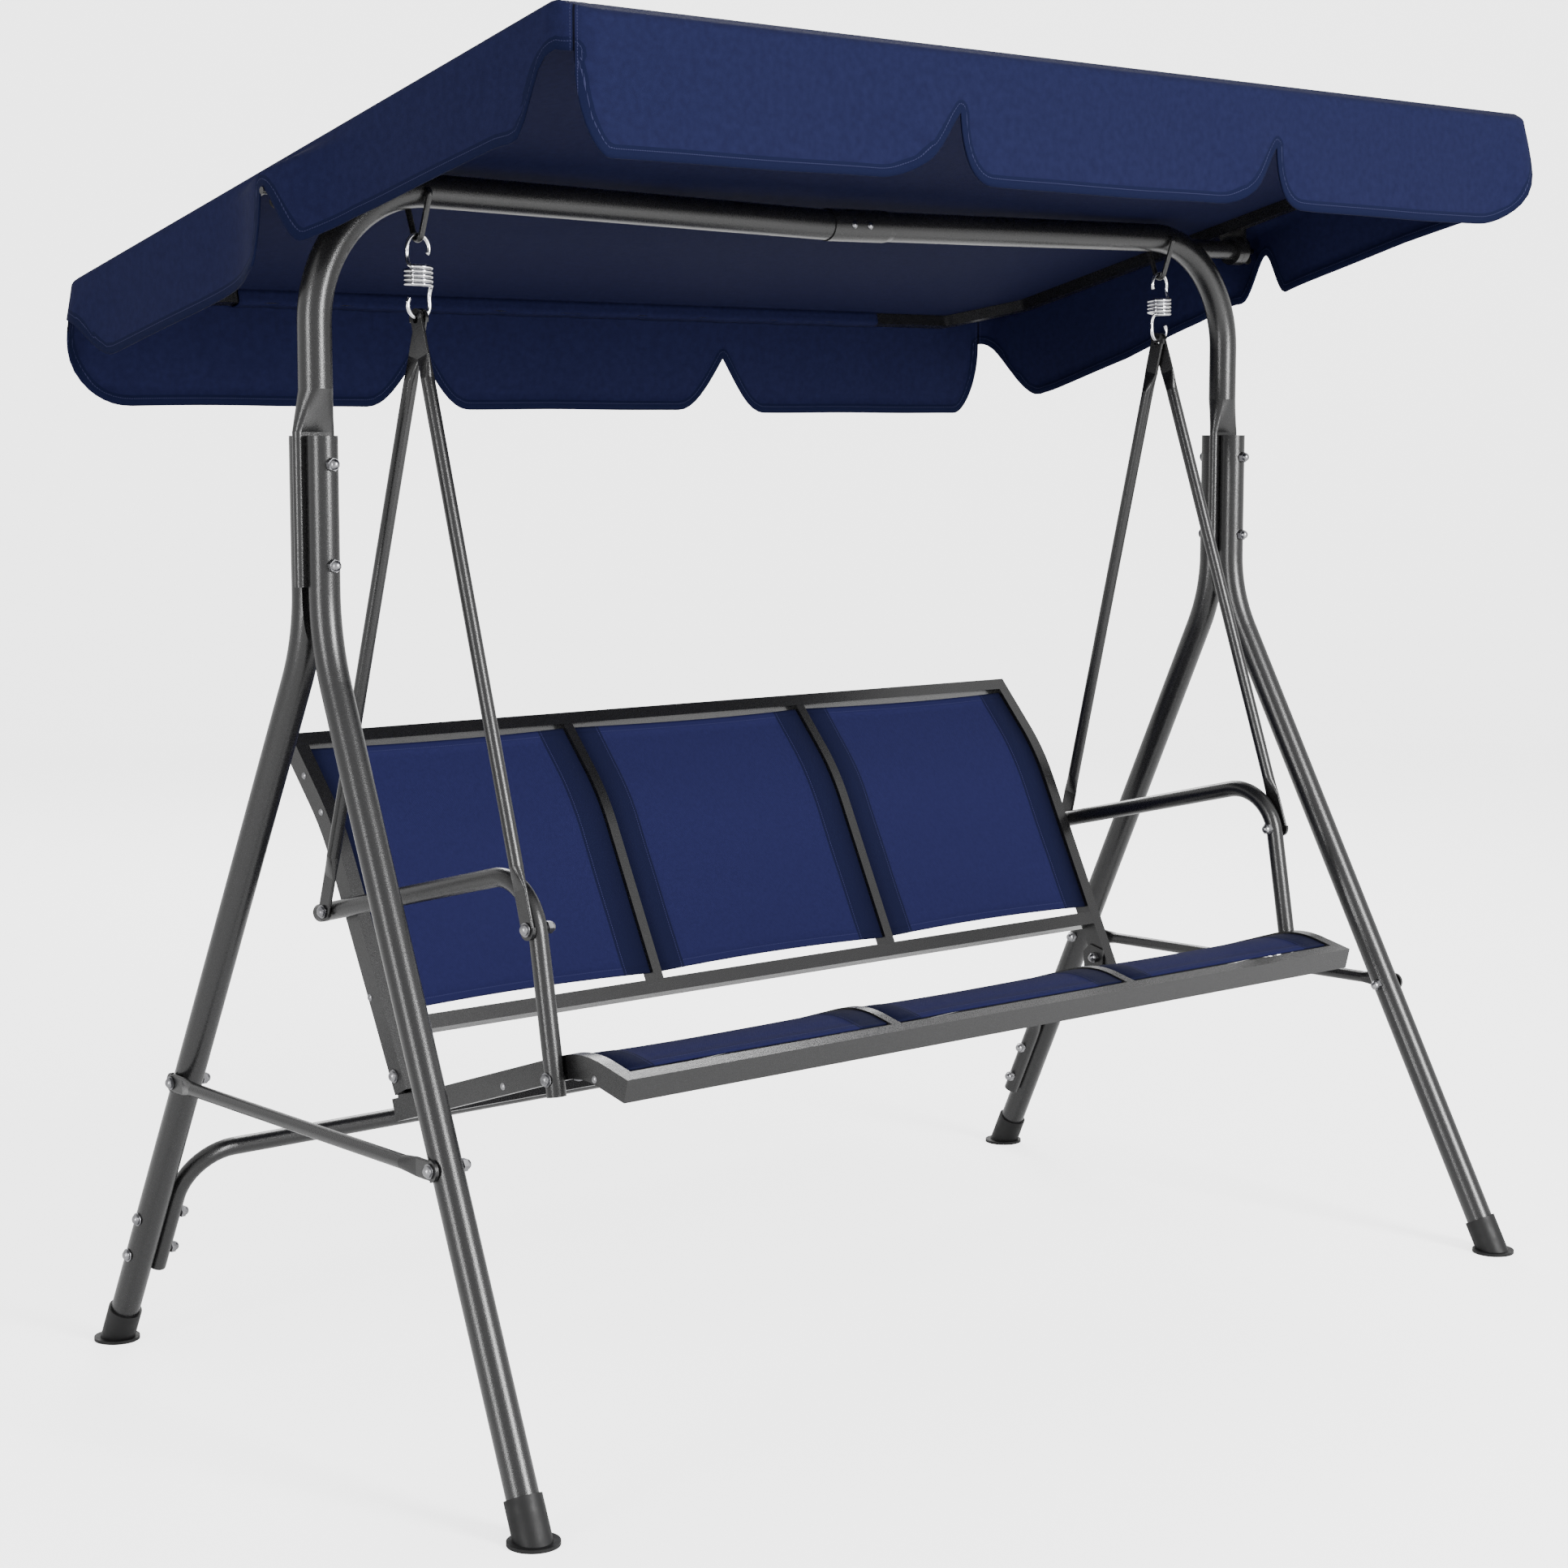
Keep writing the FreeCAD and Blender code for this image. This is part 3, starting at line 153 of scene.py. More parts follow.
def finish_group(name, grain_scale, grain_height, blotch_scale):
    """A group that gives a coat's colour, roughness and bump from the place on the object."""
    group = bpy.data.node_groups.new(name, "ShaderNodeTree")
    sides = group.interface
    sides.new_socket(name="Colour", in_out="INPUT", socket_type="NodeSocketColor")
    sides.new_socket(name="Worn Colour", in_out="INPUT", socket_type="NodeSocketColor")
    sides.new_socket(name="Low Roughness", in_out="INPUT", socket_type="NodeSocketFloat")
    sides.new_socket(name="High Roughness", in_out="INPUT", socket_type="NodeSocketFloat")
    sides.new_socket(name="Colour", in_out="OUTPUT", socket_type="NodeSocketColor")
    sides.new_socket(name="Roughness", in_out="OUTPUT", socket_type="NodeSocketFloat")
    sides.new_socket(name="Normal", in_out="OUTPUT", socket_type="NodeSocketVector")
    taken = group.nodes.new("NodeGroupInput")
    given = group.nodes.new("NodeGroupOutput")
    coords = group.nodes.new("ShaderNodeTexCoord").outputs["Object"]
    blotch = noise_shade(group, coords, blotch_scale, 4, 0, 1)
    mix = group.nodes.new("ShaderNodeMix")
    mix.data_type = "RGBA"
    group.links.new(blotch, mix.inputs["Factor"])
    group.links.new(taken.outputs["Colour"], mix.inputs["A"])
    group.links.new(taken.outputs["Worn Colour"], mix.inputs["B"])
    group.links.new(mix.outputs["Result"], given.inputs["Colour"])
    rough = group.nodes.new("ShaderNodeMapRange")
    group.links.new(noise_shade(group, coords, blotch_scale * 3, 2, 0, 1), rough.inputs["Value"])
    group.links.new(taken.outputs["Low Roughness"], rough.inputs["To Min"])
    group.links.new(taken.outputs["High Roughness"], rough.inputs["To Max"])
    group.links.new(rough.outputs["Result"], given.inputs["Roughness"])
    bump = group.nodes.new("ShaderNodeBump")
    bump.inputs["Strength"].default_value = 1
    bump.inputs["Distance"].default_value = grain_height
    group.links.new(noise_shade(group, coords, grain_scale, 2, 0, 1), bump.inputs["Height"])
    group.links.new(bump.outputs["Normal"], given.inputs["Normal"])
    return group


def finished(name, group, colour, worn, rough, metallic=0.0):
    """A material whose colour, roughness and bump come from a finish group."""
    material = bpy.data.materials.new(name)
    material.use_nodes = True
    tree = material.node_tree
    shader = tree.nodes["Principled BSDF"]
    shader.inputs["Metallic"].default_value = metallic
    node = tree.nodes.new("ShaderNodeGroup")
    node.node_tree = group
    node.inputs["Colour"].default_value = (*colour, 1)
    node.inputs["Worn Colour"].default_value = (*worn, 1)
    node.inputs["Low Roughness"].default_value = rough[0]
    node.inputs["High Roughness"].default_value = rough[1]
    tree.links.new(node.outputs["Colour"], shader.inputs["Base Color"])
    tree.links.new(node.outputs["Roughness"], shader.inputs["Roughness"])
    tree.links.new(node.outputs["Normal"], shader.inputs["Normal"])
    return material


def coat_nodes(material, *names):
    """Give CAD pieces a material in every slot."""
    for name in names:
        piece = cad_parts[name]
        if not piece.material_slots:
            piece.data.materials.append(material)
        for slot in piece.material_slots:
            slot.material = material


SIDES = (("left", -1), ("right", 1))


def both(*names):
    """The left and the right piece of each name."""
    return [name + "_" + kind for name in names for kind, _ in SIDES]


orange_peel = finish_group("orange_peel", 900, 0.00006, 420)
powder_coat = finished("powder_coat", orange_peel, (0.0038, 0.0038, 0.0040), (0.0074, 0.0074, 0.0078), (0.22, 0.32))
coat_nodes(powder_coat, *both("front_leg", "rear_leg", "top_beam", "side_brace", "swing_hook", "pivot_stub"),
           "rear_crossbar")


# ---------------------------------------------------------------- canopy frame
# Square steel tube with its corners bent in two steps, and a clamp plate welded to each side tube.
# It has the stand's powder coat.

coat_nodes(powder_coat, *both("canopy_arm", "canopy_bracket"), "canopy_front_bar", "canopy_rear_bar")


# ---------------------------------------------------------------- seat frame, armrests and hangers
# Rectangular rails welded into a seat and a back, with round tube for the armrests and the hangers,
# whose ends are pressed flat and bolted. They have the stand's powder coat.

coat_nodes(powder_coat, *both("armrest", "front_hanger", "rear_hanger", "seat_side_rail", "back_side_rail"),
           "seat_front_rail", "seat_rear_rail", "back_top_rail", "back_bottom_rail",
           "seat_dividers", "back_dividers", "seat_back_brackets", "rail_end_plates")


# ---------------------------------------------------------------- bolts, screws and moulded parts
# Zinc-plated bolts with a dull milky shine, and feet and wing nuts moulded in black plastic.
# The plastic has a fine spark-eroded grain from its mould.

plated = finish_group("plated", 400, 0.00002, 40)
zinc = finished("zinc_plate", plated, (0.30, 0.30, 0.31), (0.16, 0.16, 0.17), (0.24, 0.38), metallic=1.0)
coat_nodes(zinc, "beam_screws", "stand_bolts", "seat_bolts", "sling_screws")

moulded = finish_group("moulded", 1500, 0.00005, 25)
black_plastic = finished("black_plastic", moulded, (0.0030, 0.0030, 0.0032), (0.0050, 0.0050, 0.0052), (0.45, 0.60))
black_plastic.node_tree.nodes["Principled BSDF"].inputs["Specular IOR Level"].default_value = 0.25
coat_nodes(black_plastic, *both("front_foot", "rear_foot", "wing_nut"))


# ---------------------------------------------------------------- springs
# Close-wound extension springs in bright zinc-plated wire: the upper hook hangs on the beam's hook, and
# the two hangers hang in the lower one. The coil stretches between the stand and the seat.

bright = finish_group("bright_wire", 700, 0.00001, 90)
bright_wire = finished("bright_wire", bright, (0.80, 0.80, 0.81), (0.66, 0.66, 0.68), (0.10, 0.20), metallic=1.0)
for kind, side in SIDES:
    wire_mesh = bmesh.new()
    wire_mesh.from_mesh(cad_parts["spring_" + kind].data)
    bmesh.ops.remove_doubles(wire_mesh, verts=wire_mesh.verts, dist=0.00001)
    for face in wire_mesh.faces:
        face.smooth = True
    wire_data = bpy.data.meshes.new("coil_spring_" + kind)
    wire_mesh.to_mesh(wire_data)
    wire_mesh.free()
    wire_data.materials.append(bright_wire)
    coil = bpy.data.objects.new("coil_spring_" + kind, wire_data)
    bpy.context.scene.collection.objects.link(coil)
    low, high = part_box("spring_" + kind)
    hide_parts("spring_" + kind)
    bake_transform(coil)


# ---------------------------------------------------------------- canopy cloth
# One navy polyester cover: a roof stretched over the tube frame that folds over its edges into a hanging
# border. The border is slit at the corners, notched over the clamps and twice front and rear, and hemmed.

COVER_HALF = (0.790, 0.507)
COVER_MIDDLE = -0.0007
COVER_CORNER = 0.040
COVER_THICK, HEM_THIN = 0.0022, 0.45
ROOF_REAR, ROOF_SLOPE = 1.2925, 0.2420
BROW_AT, BROW_SLOPE, BROW_ROUND = -0.4757, 0.34, 0.010
ROOF_SAG, SAG_REACH = 0.010, 0.47
FOLD, HEM = 0.007, 0.013
BORDER_FALL = 0.13
NOTCH_AT = 0.265
CLAMP_AT, CLAMP_RISE, CLAMP_BULGE, CLAMP_WIDTH = -0.0108, 0.016, 0.034, 0.075
SIDE_EDGE = 0.76
CORNER_FLARE, FLARE_WIDTH = (0.015, 0.010), 0.07

straight_x = 2 * (COVER_HALF[0] - COVER_CORNER)
straight_y = 2 * (COVER_HALF[1] - COVER_CORNER)
corner_arc = COVER_CORNER * math.pi / 2
FRONT_AT = corner_arc / 2
RIGHT_AT = FRONT_AT + straight_x + corner_arc
REAR_AT = RIGHT_AT + straight_y + corner_arc
LEFT_AT = REAR_AT + straight_x + corner_arc
AROUND = LEFT_AT + straight_y + corner_arc / 2
CORNERS = (0, RIGHT_AT - corner_arc / 2, REAR_AT - corner_arc / 2, LEFT_AT - corner_arc / 2, AROUND)


def cover_edge(along):
    """A point of the cover's outline in plan, and the direction out of it, at a distance round it."""
    along = (along - FRONT_AT) % AROUND
    heading = 0.0
    point = Vector((-COVER_HALF[0] + COVER_CORNER, -COVER_HALF[1] + COVER_MIDDLE))
    for straight in (straight_x, straight_y, straight_x, straight_y):
        ahead = Vector((math.cos(heading), math.sin(heading)))
        out = Vector((ahead.y, -ahead.x))
        if along <= straight:
            return point + ahead * along, out
        along -= straight
        point = point + ahead * straight
        centre = point - out * COVER_CORNER
        if along <= corner_arc:
            turned = Matrix.Rotation(along / COVER_CORNER, 2) @ out
            return centre + turned * COVER_CORNER, turned
        along -= corner_arc
        out = Matrix.Rotation(math.pi / 2, 2) @ out
        point = centre + out * COVER_CORNER
        heading += math.pi / 2
    return point, out


def roof_height(x, y):
    """The stretched roof: a slope that sags a little between the bars and turns down at the front brow."""
    height = ROOF_REAR + ROOF_SLOPE * (COVER_HALF[1] - y)
    if y < BROW_AT:
        height -= (BROW_AT - y) * (ROOF_SLOPE + BROW_SLOPE) * min(1, (BROW_AT - y) / BROW_ROUND * 0.5 + 0.5)
    across = max(0.0, 1 - (x / COVER_HALF[0]) ** 2)
    deep = max(0.0, 1 - ((y - COVER_MIDDLE) / SAG_REACH) ** 2)
    pulled = math.sin(9 * x + 6 * y) * 0.0012 + math.sin(17 * x - 11 * y + 1.3) * 0.0007
    return height - ROOF_SAG * across * deep + pulled * deep * across ** 0.5


def along_front(x):
    """The distance round the cover of a place on its front edge; the next three do the same for the others."""
    return FRONT_AT + x + COVER_HALF[0] - COVER_CORNER


def along_right(y):
    return RIGHT_AT + y - COVER_MIDDLE + COVER_HALF[1] - COVER_CORNER


def along_rear(x):
    return REAR_AT - x + COVER_HALF[0] - COVER_CORNER


def along_left(y):
    return LEFT_AT - y + COVER_MIDDLE + COVER_HALF[1] - COVER_CORNER


# Where the border hangs how deep, as distance round the cover and depth below the fold.
BORDER_DEPTHS = [(0, 0.130), (along_front(-0.75), 0.137), (along_front(0.75), 0.137),
                 (CORNERS[1], 0.125),
                 (along_right(-0.44), 0.115), (along_right(-0.30), 0.115), (along_right(-0.09), 0.122),
                 (along_right(0.02), 0.111), (along_right(0.07), 0.123), (along_right(0.20), 0.140),
                 (along_right(0.35), 0.147), (along_rear(0.75), 0.145), (along_rear(-0.75), 0.140),
                 (along_left(0.46), 0.112), (along_left(0.10), 0.118), (along_left(0.03), 0.119),
                 (along_left(-0.14), 0.107), (along_left(-0.38), 0.111), (AROUND, 0.130)]

# Each cut: its middle, its top's depth, then the reach and form of the edge before it and after it.
BORDER_CUTS = [(0, 0.043, 0.095, "step", 0.032, "round"),
               (along_front(-NOTCH_AT), 0.062, 0.120, "vee", 0.044, "round"),
               (along_front(NOTCH_AT), 0.066, 0.105, "vee", 0.044, "round"),
               (CORNERS[1], 0.030, 0.115, "round", 0.085, "round"),
               (along_right(-0.040), 0.057, 0.050, "sweep", 0.045, "sweep"),
               (CORNERS[2], 0.042, 0.118, "sweep", 0.048, "round"),
               (along_rear(NOTCH_AT), 0.068, 0.088, "vee", 0.084, "vee"),
               (along_rear(-NOTCH_AT), 0.068, 0.088, "vee", 0.084, "vee"),
               (CORNERS[3], 0.042, 0.090, "round", 0.120, "sweep"),
               (along_left(-0.004), 0.038, 0.014, "round", 0.066, "sweep"),
               (AROUND, 0.043, 0.095, "step", 0.032, "round")]


def ease(q):
    """Slow at both ends, from 0 to 1."""
    q = max(0, min(1, q))
    return q * q * (3 - 2 * q)


CUT_FORMS = {"round": lambda q: math.sqrt(1 - (1 - q) ** 2), "sweep": ease,
             "vee": lambda q: math.sin(math.pi / 2 * q),
             "step": lambda q: 0.25 * q + 0.75 * ease((q - 0.4) / 0.5)}


def border_depth(along):
    """How far the border hangs below the fold at a distance round the cover."""
    for (a, deep_a), (b, deep_b) in zip(BORDER_DEPTHS, BORDER_DEPTHS[1:]):
        if a <= along <= b:
            depth = deep_a + (deep_b - deep_a) * (along - a) / (b - a)
            break
    for middle, top, before, form_before, after, form_after in BORDER_CUTS:
        reach, form = (after, form_after) if along >= middle else (before, form_before)
        q = abs(along - middle) / reach
        if q < 1:
            depth = top + (depth - top) * CUT_FORMS[form](q)
    return depth


def cover_stations():
    """Distances round the cover for the mesh's columns, close together where the edge is cut."""
    close = []
    for middle, _, before, _, after, _ in BORDER_CUTS:
        for step in range(13):
            turn = 1 - math.cos(math.pi / 2 * step / 12)
            close += [middle - before * turn, middle + after * turn]
    close = sorted(a for a in close if 0 <= a <= AROUND)
    regular = [AROUND * n / 520 for n in range(521)]
    stations = [0.0]
    for a in sorted(close + [r for r in regular if min(abs(r - c) for c in close) > 0.004]):
        if a - stations[-1] > 0.0003:
            stations.append(a)
    stations[-1] = AROUND
    return stations


def gust(along):
    """How far the border stands out at its hem, and its slow waves."""
    point, _ = cover_edge(along)
    out = 0.004 + 0.0035 * math.sin(along * 11.0 + 0.6) + 0.002 * math.sin(along * 23.0 + 2.0)
    for middle in (along_front(-NOTCH_AT), along_front(NOTCH_AT)):
        out += 0.015 * math.exp(-((along - middle + 0.045) / 0.035) ** 2)
        out -= 0.006 * math.exp(-((along - middle - 0.02) / 0.03) ** 2)
    return out


ROOF_INSETS = [0.507, 0.40, 0.31, 0.24, 0.18, 0.13, 0.095, 0.070, 0.052, 0.042, 0.034, 0.028, 0.022, 0.016, 0.011]
FOLD_ANGLES = [0, 22.5, 45, 67.5, 90]
BORDER_ROWS = 12
HEM_ROWS = [HEM + 0.0005, HEM - 0.0005, 0.006, 0.0]

stations = cover_stations()
rows = len(ROOF_INSETS) + len(FOLD_ANGLES) + BORDER_ROWS - 1 + len(HEM_ROWS)
cover_mesh = bmesh.new()
bmesh.ops.create_grid(cover_mesh, x_segments=len(stations) - 1, y_segments=rows - 1, size=0.5)
from_fold = cover_mesh.verts.layers.float.new("from_fold")
from_hem = cover_mesh.verts.layers.float.new("from_hem")
from_dart = cover_mesh.verts.layers.float.new("from_dart")
hem_weight = cover_mesh.verts.layers.deform.verify()
cover_uv = cover_mesh.loops.layers.uv.new("cloth")
hem_line = [(a, border_depth(a)) for a in stations]


def hem_distance(column, depth):
    """The shortest way from a point on the border to its cut edge."""
    a = stations[column]
    near = hem_line[max(0, column - 40):column + 41]
    return min(math.hypot(b - a, deep - depth) for b, deep in near)


for vertex in cover_mesh.verts:
    column = round((vertex.co.x + 0.5) * (len(stations) - 1))
    row = round((vertex.co.y + 0.5) * (rows - 1))
    along = stations[column]
    edge, out = cover_edge(along)
    depth = hem_line[column][1]
    if row < len(ROOF_INSETS):
        inset = ROOF_INSETS[row]
        share = inset / COVER_HALF[1]
        keep_x = 1 - inset / COVER_HALF[0] * (1 + (COVER_HALF[0] / COVER_HALF[1] - 1) * share ** 2)
        x = edge.x * keep_x
        y = COVER_MIDDLE + (edge.y - COVER_MIDDLE) * (1 - share)
        vertex.co = (x, y, roof_height(x, y))
        vertex[from_fold] = -inset
        vertex[from_hem] = depth + inset
        vertex[from_dart] = 1.0
        continue
    row -= len(ROOF_INSETS)
    if row < len(FOLD_ANGLES):
        turn = math.radians(FOLD_ANGLES[row])
        outward, down = FOLD * (math.sin(turn) - 1), FOLD * (1 - math.cos(turn))
    else:
        row -= len(FOLD_ANGLES) - 1
        left = HEM_ROWS[row - BORDER_ROWS] if row >= BORDER_ROWS else None
        down = FOLD + (depth - HEM_ROWS[0] - FOLD) * row / BORDER_ROWS if left is None else depth - left
        fall = (down - FOLD) / BORDER_FALL
        outward = gust(along) * fall ** 1.4 - 0.0015 * math.sin(math.pi * min(1, fall))
        for middle, flare in zip((CORNERS[1], CORNERS[3]), CORNER_FLARE):
            swell = math.sin(math.pi * min(1, 0.8 * fall))
            outward += flare * math.exp(-((along - middle) / FLARE_WIDTH) ** 2) * swell
        if abs(edge.x) > SIDE_EDGE:
            rise = ease((down - FOLD) / CLAMP_RISE)
            outward += CLAMP_BULGE * math.exp(-((edge.y - CLAMP_AT) / CLAMP_WIDTH) ** 2) * rise
    place = edge + out * outward
    vertex.co = (place.x, place.y, roof_height(place.x, place.y) - down)
    vertex[from_fold] = down
    vertex[from_hem] = hem_distance(column, down)
    # Distance to the corner seams, where the cloth material paints a thin line of painted shade.
    vertex[from_dart] = min(abs(along - middle) for middle in CORNERS)
    if vertex[from_hem] < HEM:
        vertex[hem_weight][0] = 1.0
for face in cover_mesh.faces:
    face.smooth = True
    for loop in face.loops:
        column = loop.vert.index % len(stations)
        loop[cover_uv].uv = (stations[column], loop.vert[from_fold])
bmesh.ops.remove_doubles(cover_mesh, verts=cover_mesh.verts, dist=0.00005)
if sum(face.normal.z for face in cover_mesh.faces) < 0:
    bmesh.ops.reverse_faces(cover_mesh, faces=cover_mesh.faces)
cover_data = bpy.data.meshes.new("canopy_cover")
cover_mesh.to_mesh(cover_data)
cover_mesh.free()
cover = bpy.data.objects.new("canopy_cover", cover_data)
bpy.context.scene.collection.objects.link(cover)
cover.vertex_groups.new(name="hem")
thickness = cover.modifiers.new("cloth_thickness", "SOLIDIFY")
thickness.thickness = COVER_THICK
thickness.offset = -1
thickness.vertex_group = "hem"
thickness.thickness_vertex_group = HEM_THIN


STITCH_WIDTH, STITCHES_PER_METRE, STITCH_SHARE = 0.0009, 330, 0.7
THREAD_HEIGHT = 2.5


def stitch_group():
    """A row of short stitches: a mask that is 1 on the thread and 0 off it."""
    group = bpy.data.node_groups.new("stitch_row", "ShaderNodeTree")
    sides = group.interface
    for label in ("Distance", "Along", "Place", "Width", "Stitches per metre"):
        sides.new_socket(name=label, in_out="INPUT", socket_type="NodeSocketFloat")
    sides.new_socket(name="Thread", in_out="OUTPUT", socket_type="NodeSocketFloat")
    taken = group.nodes.new("NodeGroupInput")
    given = group.nodes.new("NodeGroupOutput")

    def sum_up(kind, first, second):
        node = group.nodes.new("ShaderNodeMath")
        node.operation = kind
        for socket, value in zip(node.inputs, (first, second)):
            if isinstance(value, (int, float)):
                socket.default_value = value
            else:
                group.links.new(value, socket)
        return node.outputs[0]

    off = sum_up("ABSOLUTE", sum_up("SUBTRACT", taken.outputs["Distance"], taken.outputs["Place"]), 0)
    near = sum_up("LESS_THAN", off, sum_up("MULTIPLY", taken.outputs["Width"], 0.5))
    beat = sum_up("FRACT", sum_up("MULTIPLY", taken.outputs["Along"], taken.outputs["Stitches per metre"]), 0)
    group.links.new(sum_up("MULTIPLY", near, sum_up("LESS_THAN", beat, STITCH_SHARE)), given.inputs["Thread"])
    return group


def weave_group():
    """Plain weave: threads over and under each other, as a height and a shade."""
    group = bpy.data.node_groups.new("plain_weave", "ShaderNodeTree")
    sides = group.interface
    sides.new_socket(name="Vector", in_out="INPUT", socket_type="NodeSocketVector")
    sides.new_socket(name="Threads per metre", in_out="INPUT", socket_type="NodeSocketFloat")
    sides.new_socket(name="Height", in_out="OUTPUT", socket_type="NodeSocketFloat")
    taken = group.nodes.new("NodeGroupInput")
    given = group.nodes.new("NodeGroupOutput")
    scaled = group.nodes.new("ShaderNodeVectorMath")
    scaled.operation = "SCALE"
    group.links.new(taken.outputs["Vector"], scaled.inputs[0])
    group.links.new(taken.outputs["Threads per metre"], scaled.inputs["Scale"])
    parts = group.nodes.new("ShaderNodeSeparateXYZ")
    group.links.new(scaled.outputs["Vector"], parts.inputs[0])
    waves = []
    for axis in ("X", "Y"):
        turn = group.nodes.new("ShaderNodeMath")
        turn.operation = "MULTIPLY"
        turn.inputs[1].default_value = math.pi
        group.links.new(parts.outputs[axis], turn.inputs[0])
        wave = group.nodes.new("ShaderNodeMath")
        wave.operation = "SINE"
        group.links.new(turn.outputs[0], wave.inputs[0])
        waves.append(wave.outputs[0])
    crossed = group.nodes.new("ShaderNodeMath")
    crossed.operation = "MULTIPLY"
    group.links.new(waves[0], crossed.inputs[0])
    group.links.new(waves[1], crossed.inputs[1])
    lifted = group.nodes.new("ShaderNodeMath")
    lifted.operation = "MULTIPLY_ADD"
    lifted.inputs[1].default_value = 0.5
    lifted.inputs[2].default_value = 0.5
    group.links.new(crossed.outputs[0], lifted.inputs[0])
    group.links.new(lifted.outputs[0], given.inputs["Height"])
    return group


stitch_row = stitch_group()
plain_weave = weave_group()


def cloth_material(name, colour, pale, threads, weave_height, rough, mottle, hems_and_seam_shades):
    """Woven cloth: weave, soft blotches, a darker double hem and its stitches, and painted shade in seam creases.
    hems lists attribute, hem width, stitch place, the UV axis that the stitches run along, and the colour; an entry
    can also be a thin seam line whose dark colour is painted shade."""
    material = bpy.data.materials.new(name)
    material.use_nodes = True
    tree = material.node_tree
    shader = tree.nodes["Principled BSDF"]
    shader.inputs["Roughness"].default_value = rough
    shader.inputs["Specular IOR Level"].default_value = 0.06
    place = tree.nodes.new("ShaderNodeTexCoord")
    uv = tree.nodes.new("ShaderNodeSeparateXYZ")
    tree.links.new(place.outputs["UV"], uv.inputs[0])
    weave = tree.nodes.new("ShaderNodeGroup")
    weave.node_tree = plain_weave
    weave.inputs["Threads per metre"].default_value = threads
    tree.links.new(place.outputs["UV"], weave.inputs["Vector"])
    blotch = noise_shade(tree, place.outputs["Object"], mottle, 8, 0, 1)

    def blend_colour(mask, first, second):
        node = tree.nodes.new("ShaderNodeMix")
        node.data_type = "RGBA"
        tree.links.new(mask, node.inputs["Factor"])
        for label, value in (("A", first), ("B", second)):
            if isinstance(value, tuple):
                node.inputs[label].default_value = (*value, 1)
            else:
                tree.links.new(value, node.inputs[label])
        return node.outputs["Result"]

    shade = blend_colour(blotch, colour, pale)
    height = weave.outputs["Height"]
    for attribute, width, stitch_place, axis, hem_and_seam_shade_colour in hems_and_seam_shades:
        reading = tree.nodes.new("ShaderNodeAttribute")
        reading.attribute_name = attribute
        distance = reading.outputs["Fac"]
        inside = tree.nodes.new("ShaderNodeMath")
        inside.operation = "LESS_THAN"
        inside.inputs[1].default_value = width
        tree.links.new(distance, inside.inputs[0])
        shade = blend_colour(inside.outputs[0], shade, hem_and_seam_shade_colour)
        stitches = tree.nodes.new("ShaderNodeGroup")
        stitches.node_tree = stitch_row
        stitches.inputs["Place"].default_value = stitch_place
        stitches.inputs["Width"].default_value = STITCH_WIDTH
        stitches.inputs["Stitches per metre"].default_value = STITCHES_PER_METRE
        tree.links.new(distance, stitches.inputs["Distance"])
        tree.links.new(uv.outputs[axis], stitches.inputs["Along"])
        shade = blend_colour(stitches.outputs["Thread"], shade, tuple(c * 1.6 + 0.01 for c in colour))
        raised_thread = tree.nodes.new("ShaderNodeMath")
        raised_thread.operation = "MULTIPLY_ADD"
        raised_thread.inputs[1].default_value = THREAD_HEIGHT
        tree.links.new(stitches.outputs["Thread"], raised_thread.inputs[0])
        tree.links.new(height, raised_thread.inputs[2])
        height = raised_thread.outputs[0]
    tree.links.new(shade, shader.inputs["Base Color"])
    bump = tree.nodes.new("ShaderNodeBump")
    bump.inputs["Strength"].default_value = 0.8
    bump.inputs["Distance"].default_value = weave_height
    tree.links.new(height, bump.inputs["Height"])
    tree.links.new(bump.outputs["Normal"], shader.inputs["Normal"])
    return material


canopy_cloth = cloth_material("canopy_cloth", (0.0046, 0.0056, 0.0240), (0.0062, 0.0076, 0.0305),
                              1400, 0.00012, 0.85, 120,
                              [("from_hem", HEM, HEM - 0.004, "X", (0.0028, 0.0042, 0.019)),
                               # The from_dart entry paints a thin near-black line down each corner seam: painted
                               # shade in the seam's crease, with real stitches beside it.
                               ("from_dart", 0.0012, 0.0035, "Y", (0.0010, 0.0014, 0.006))])
cover_data.materials.append(canopy_cloth)
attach(cover, "canopy")
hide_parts("canopy_top", "valance_front", "valance_rear", "valance_left", "valance_right")


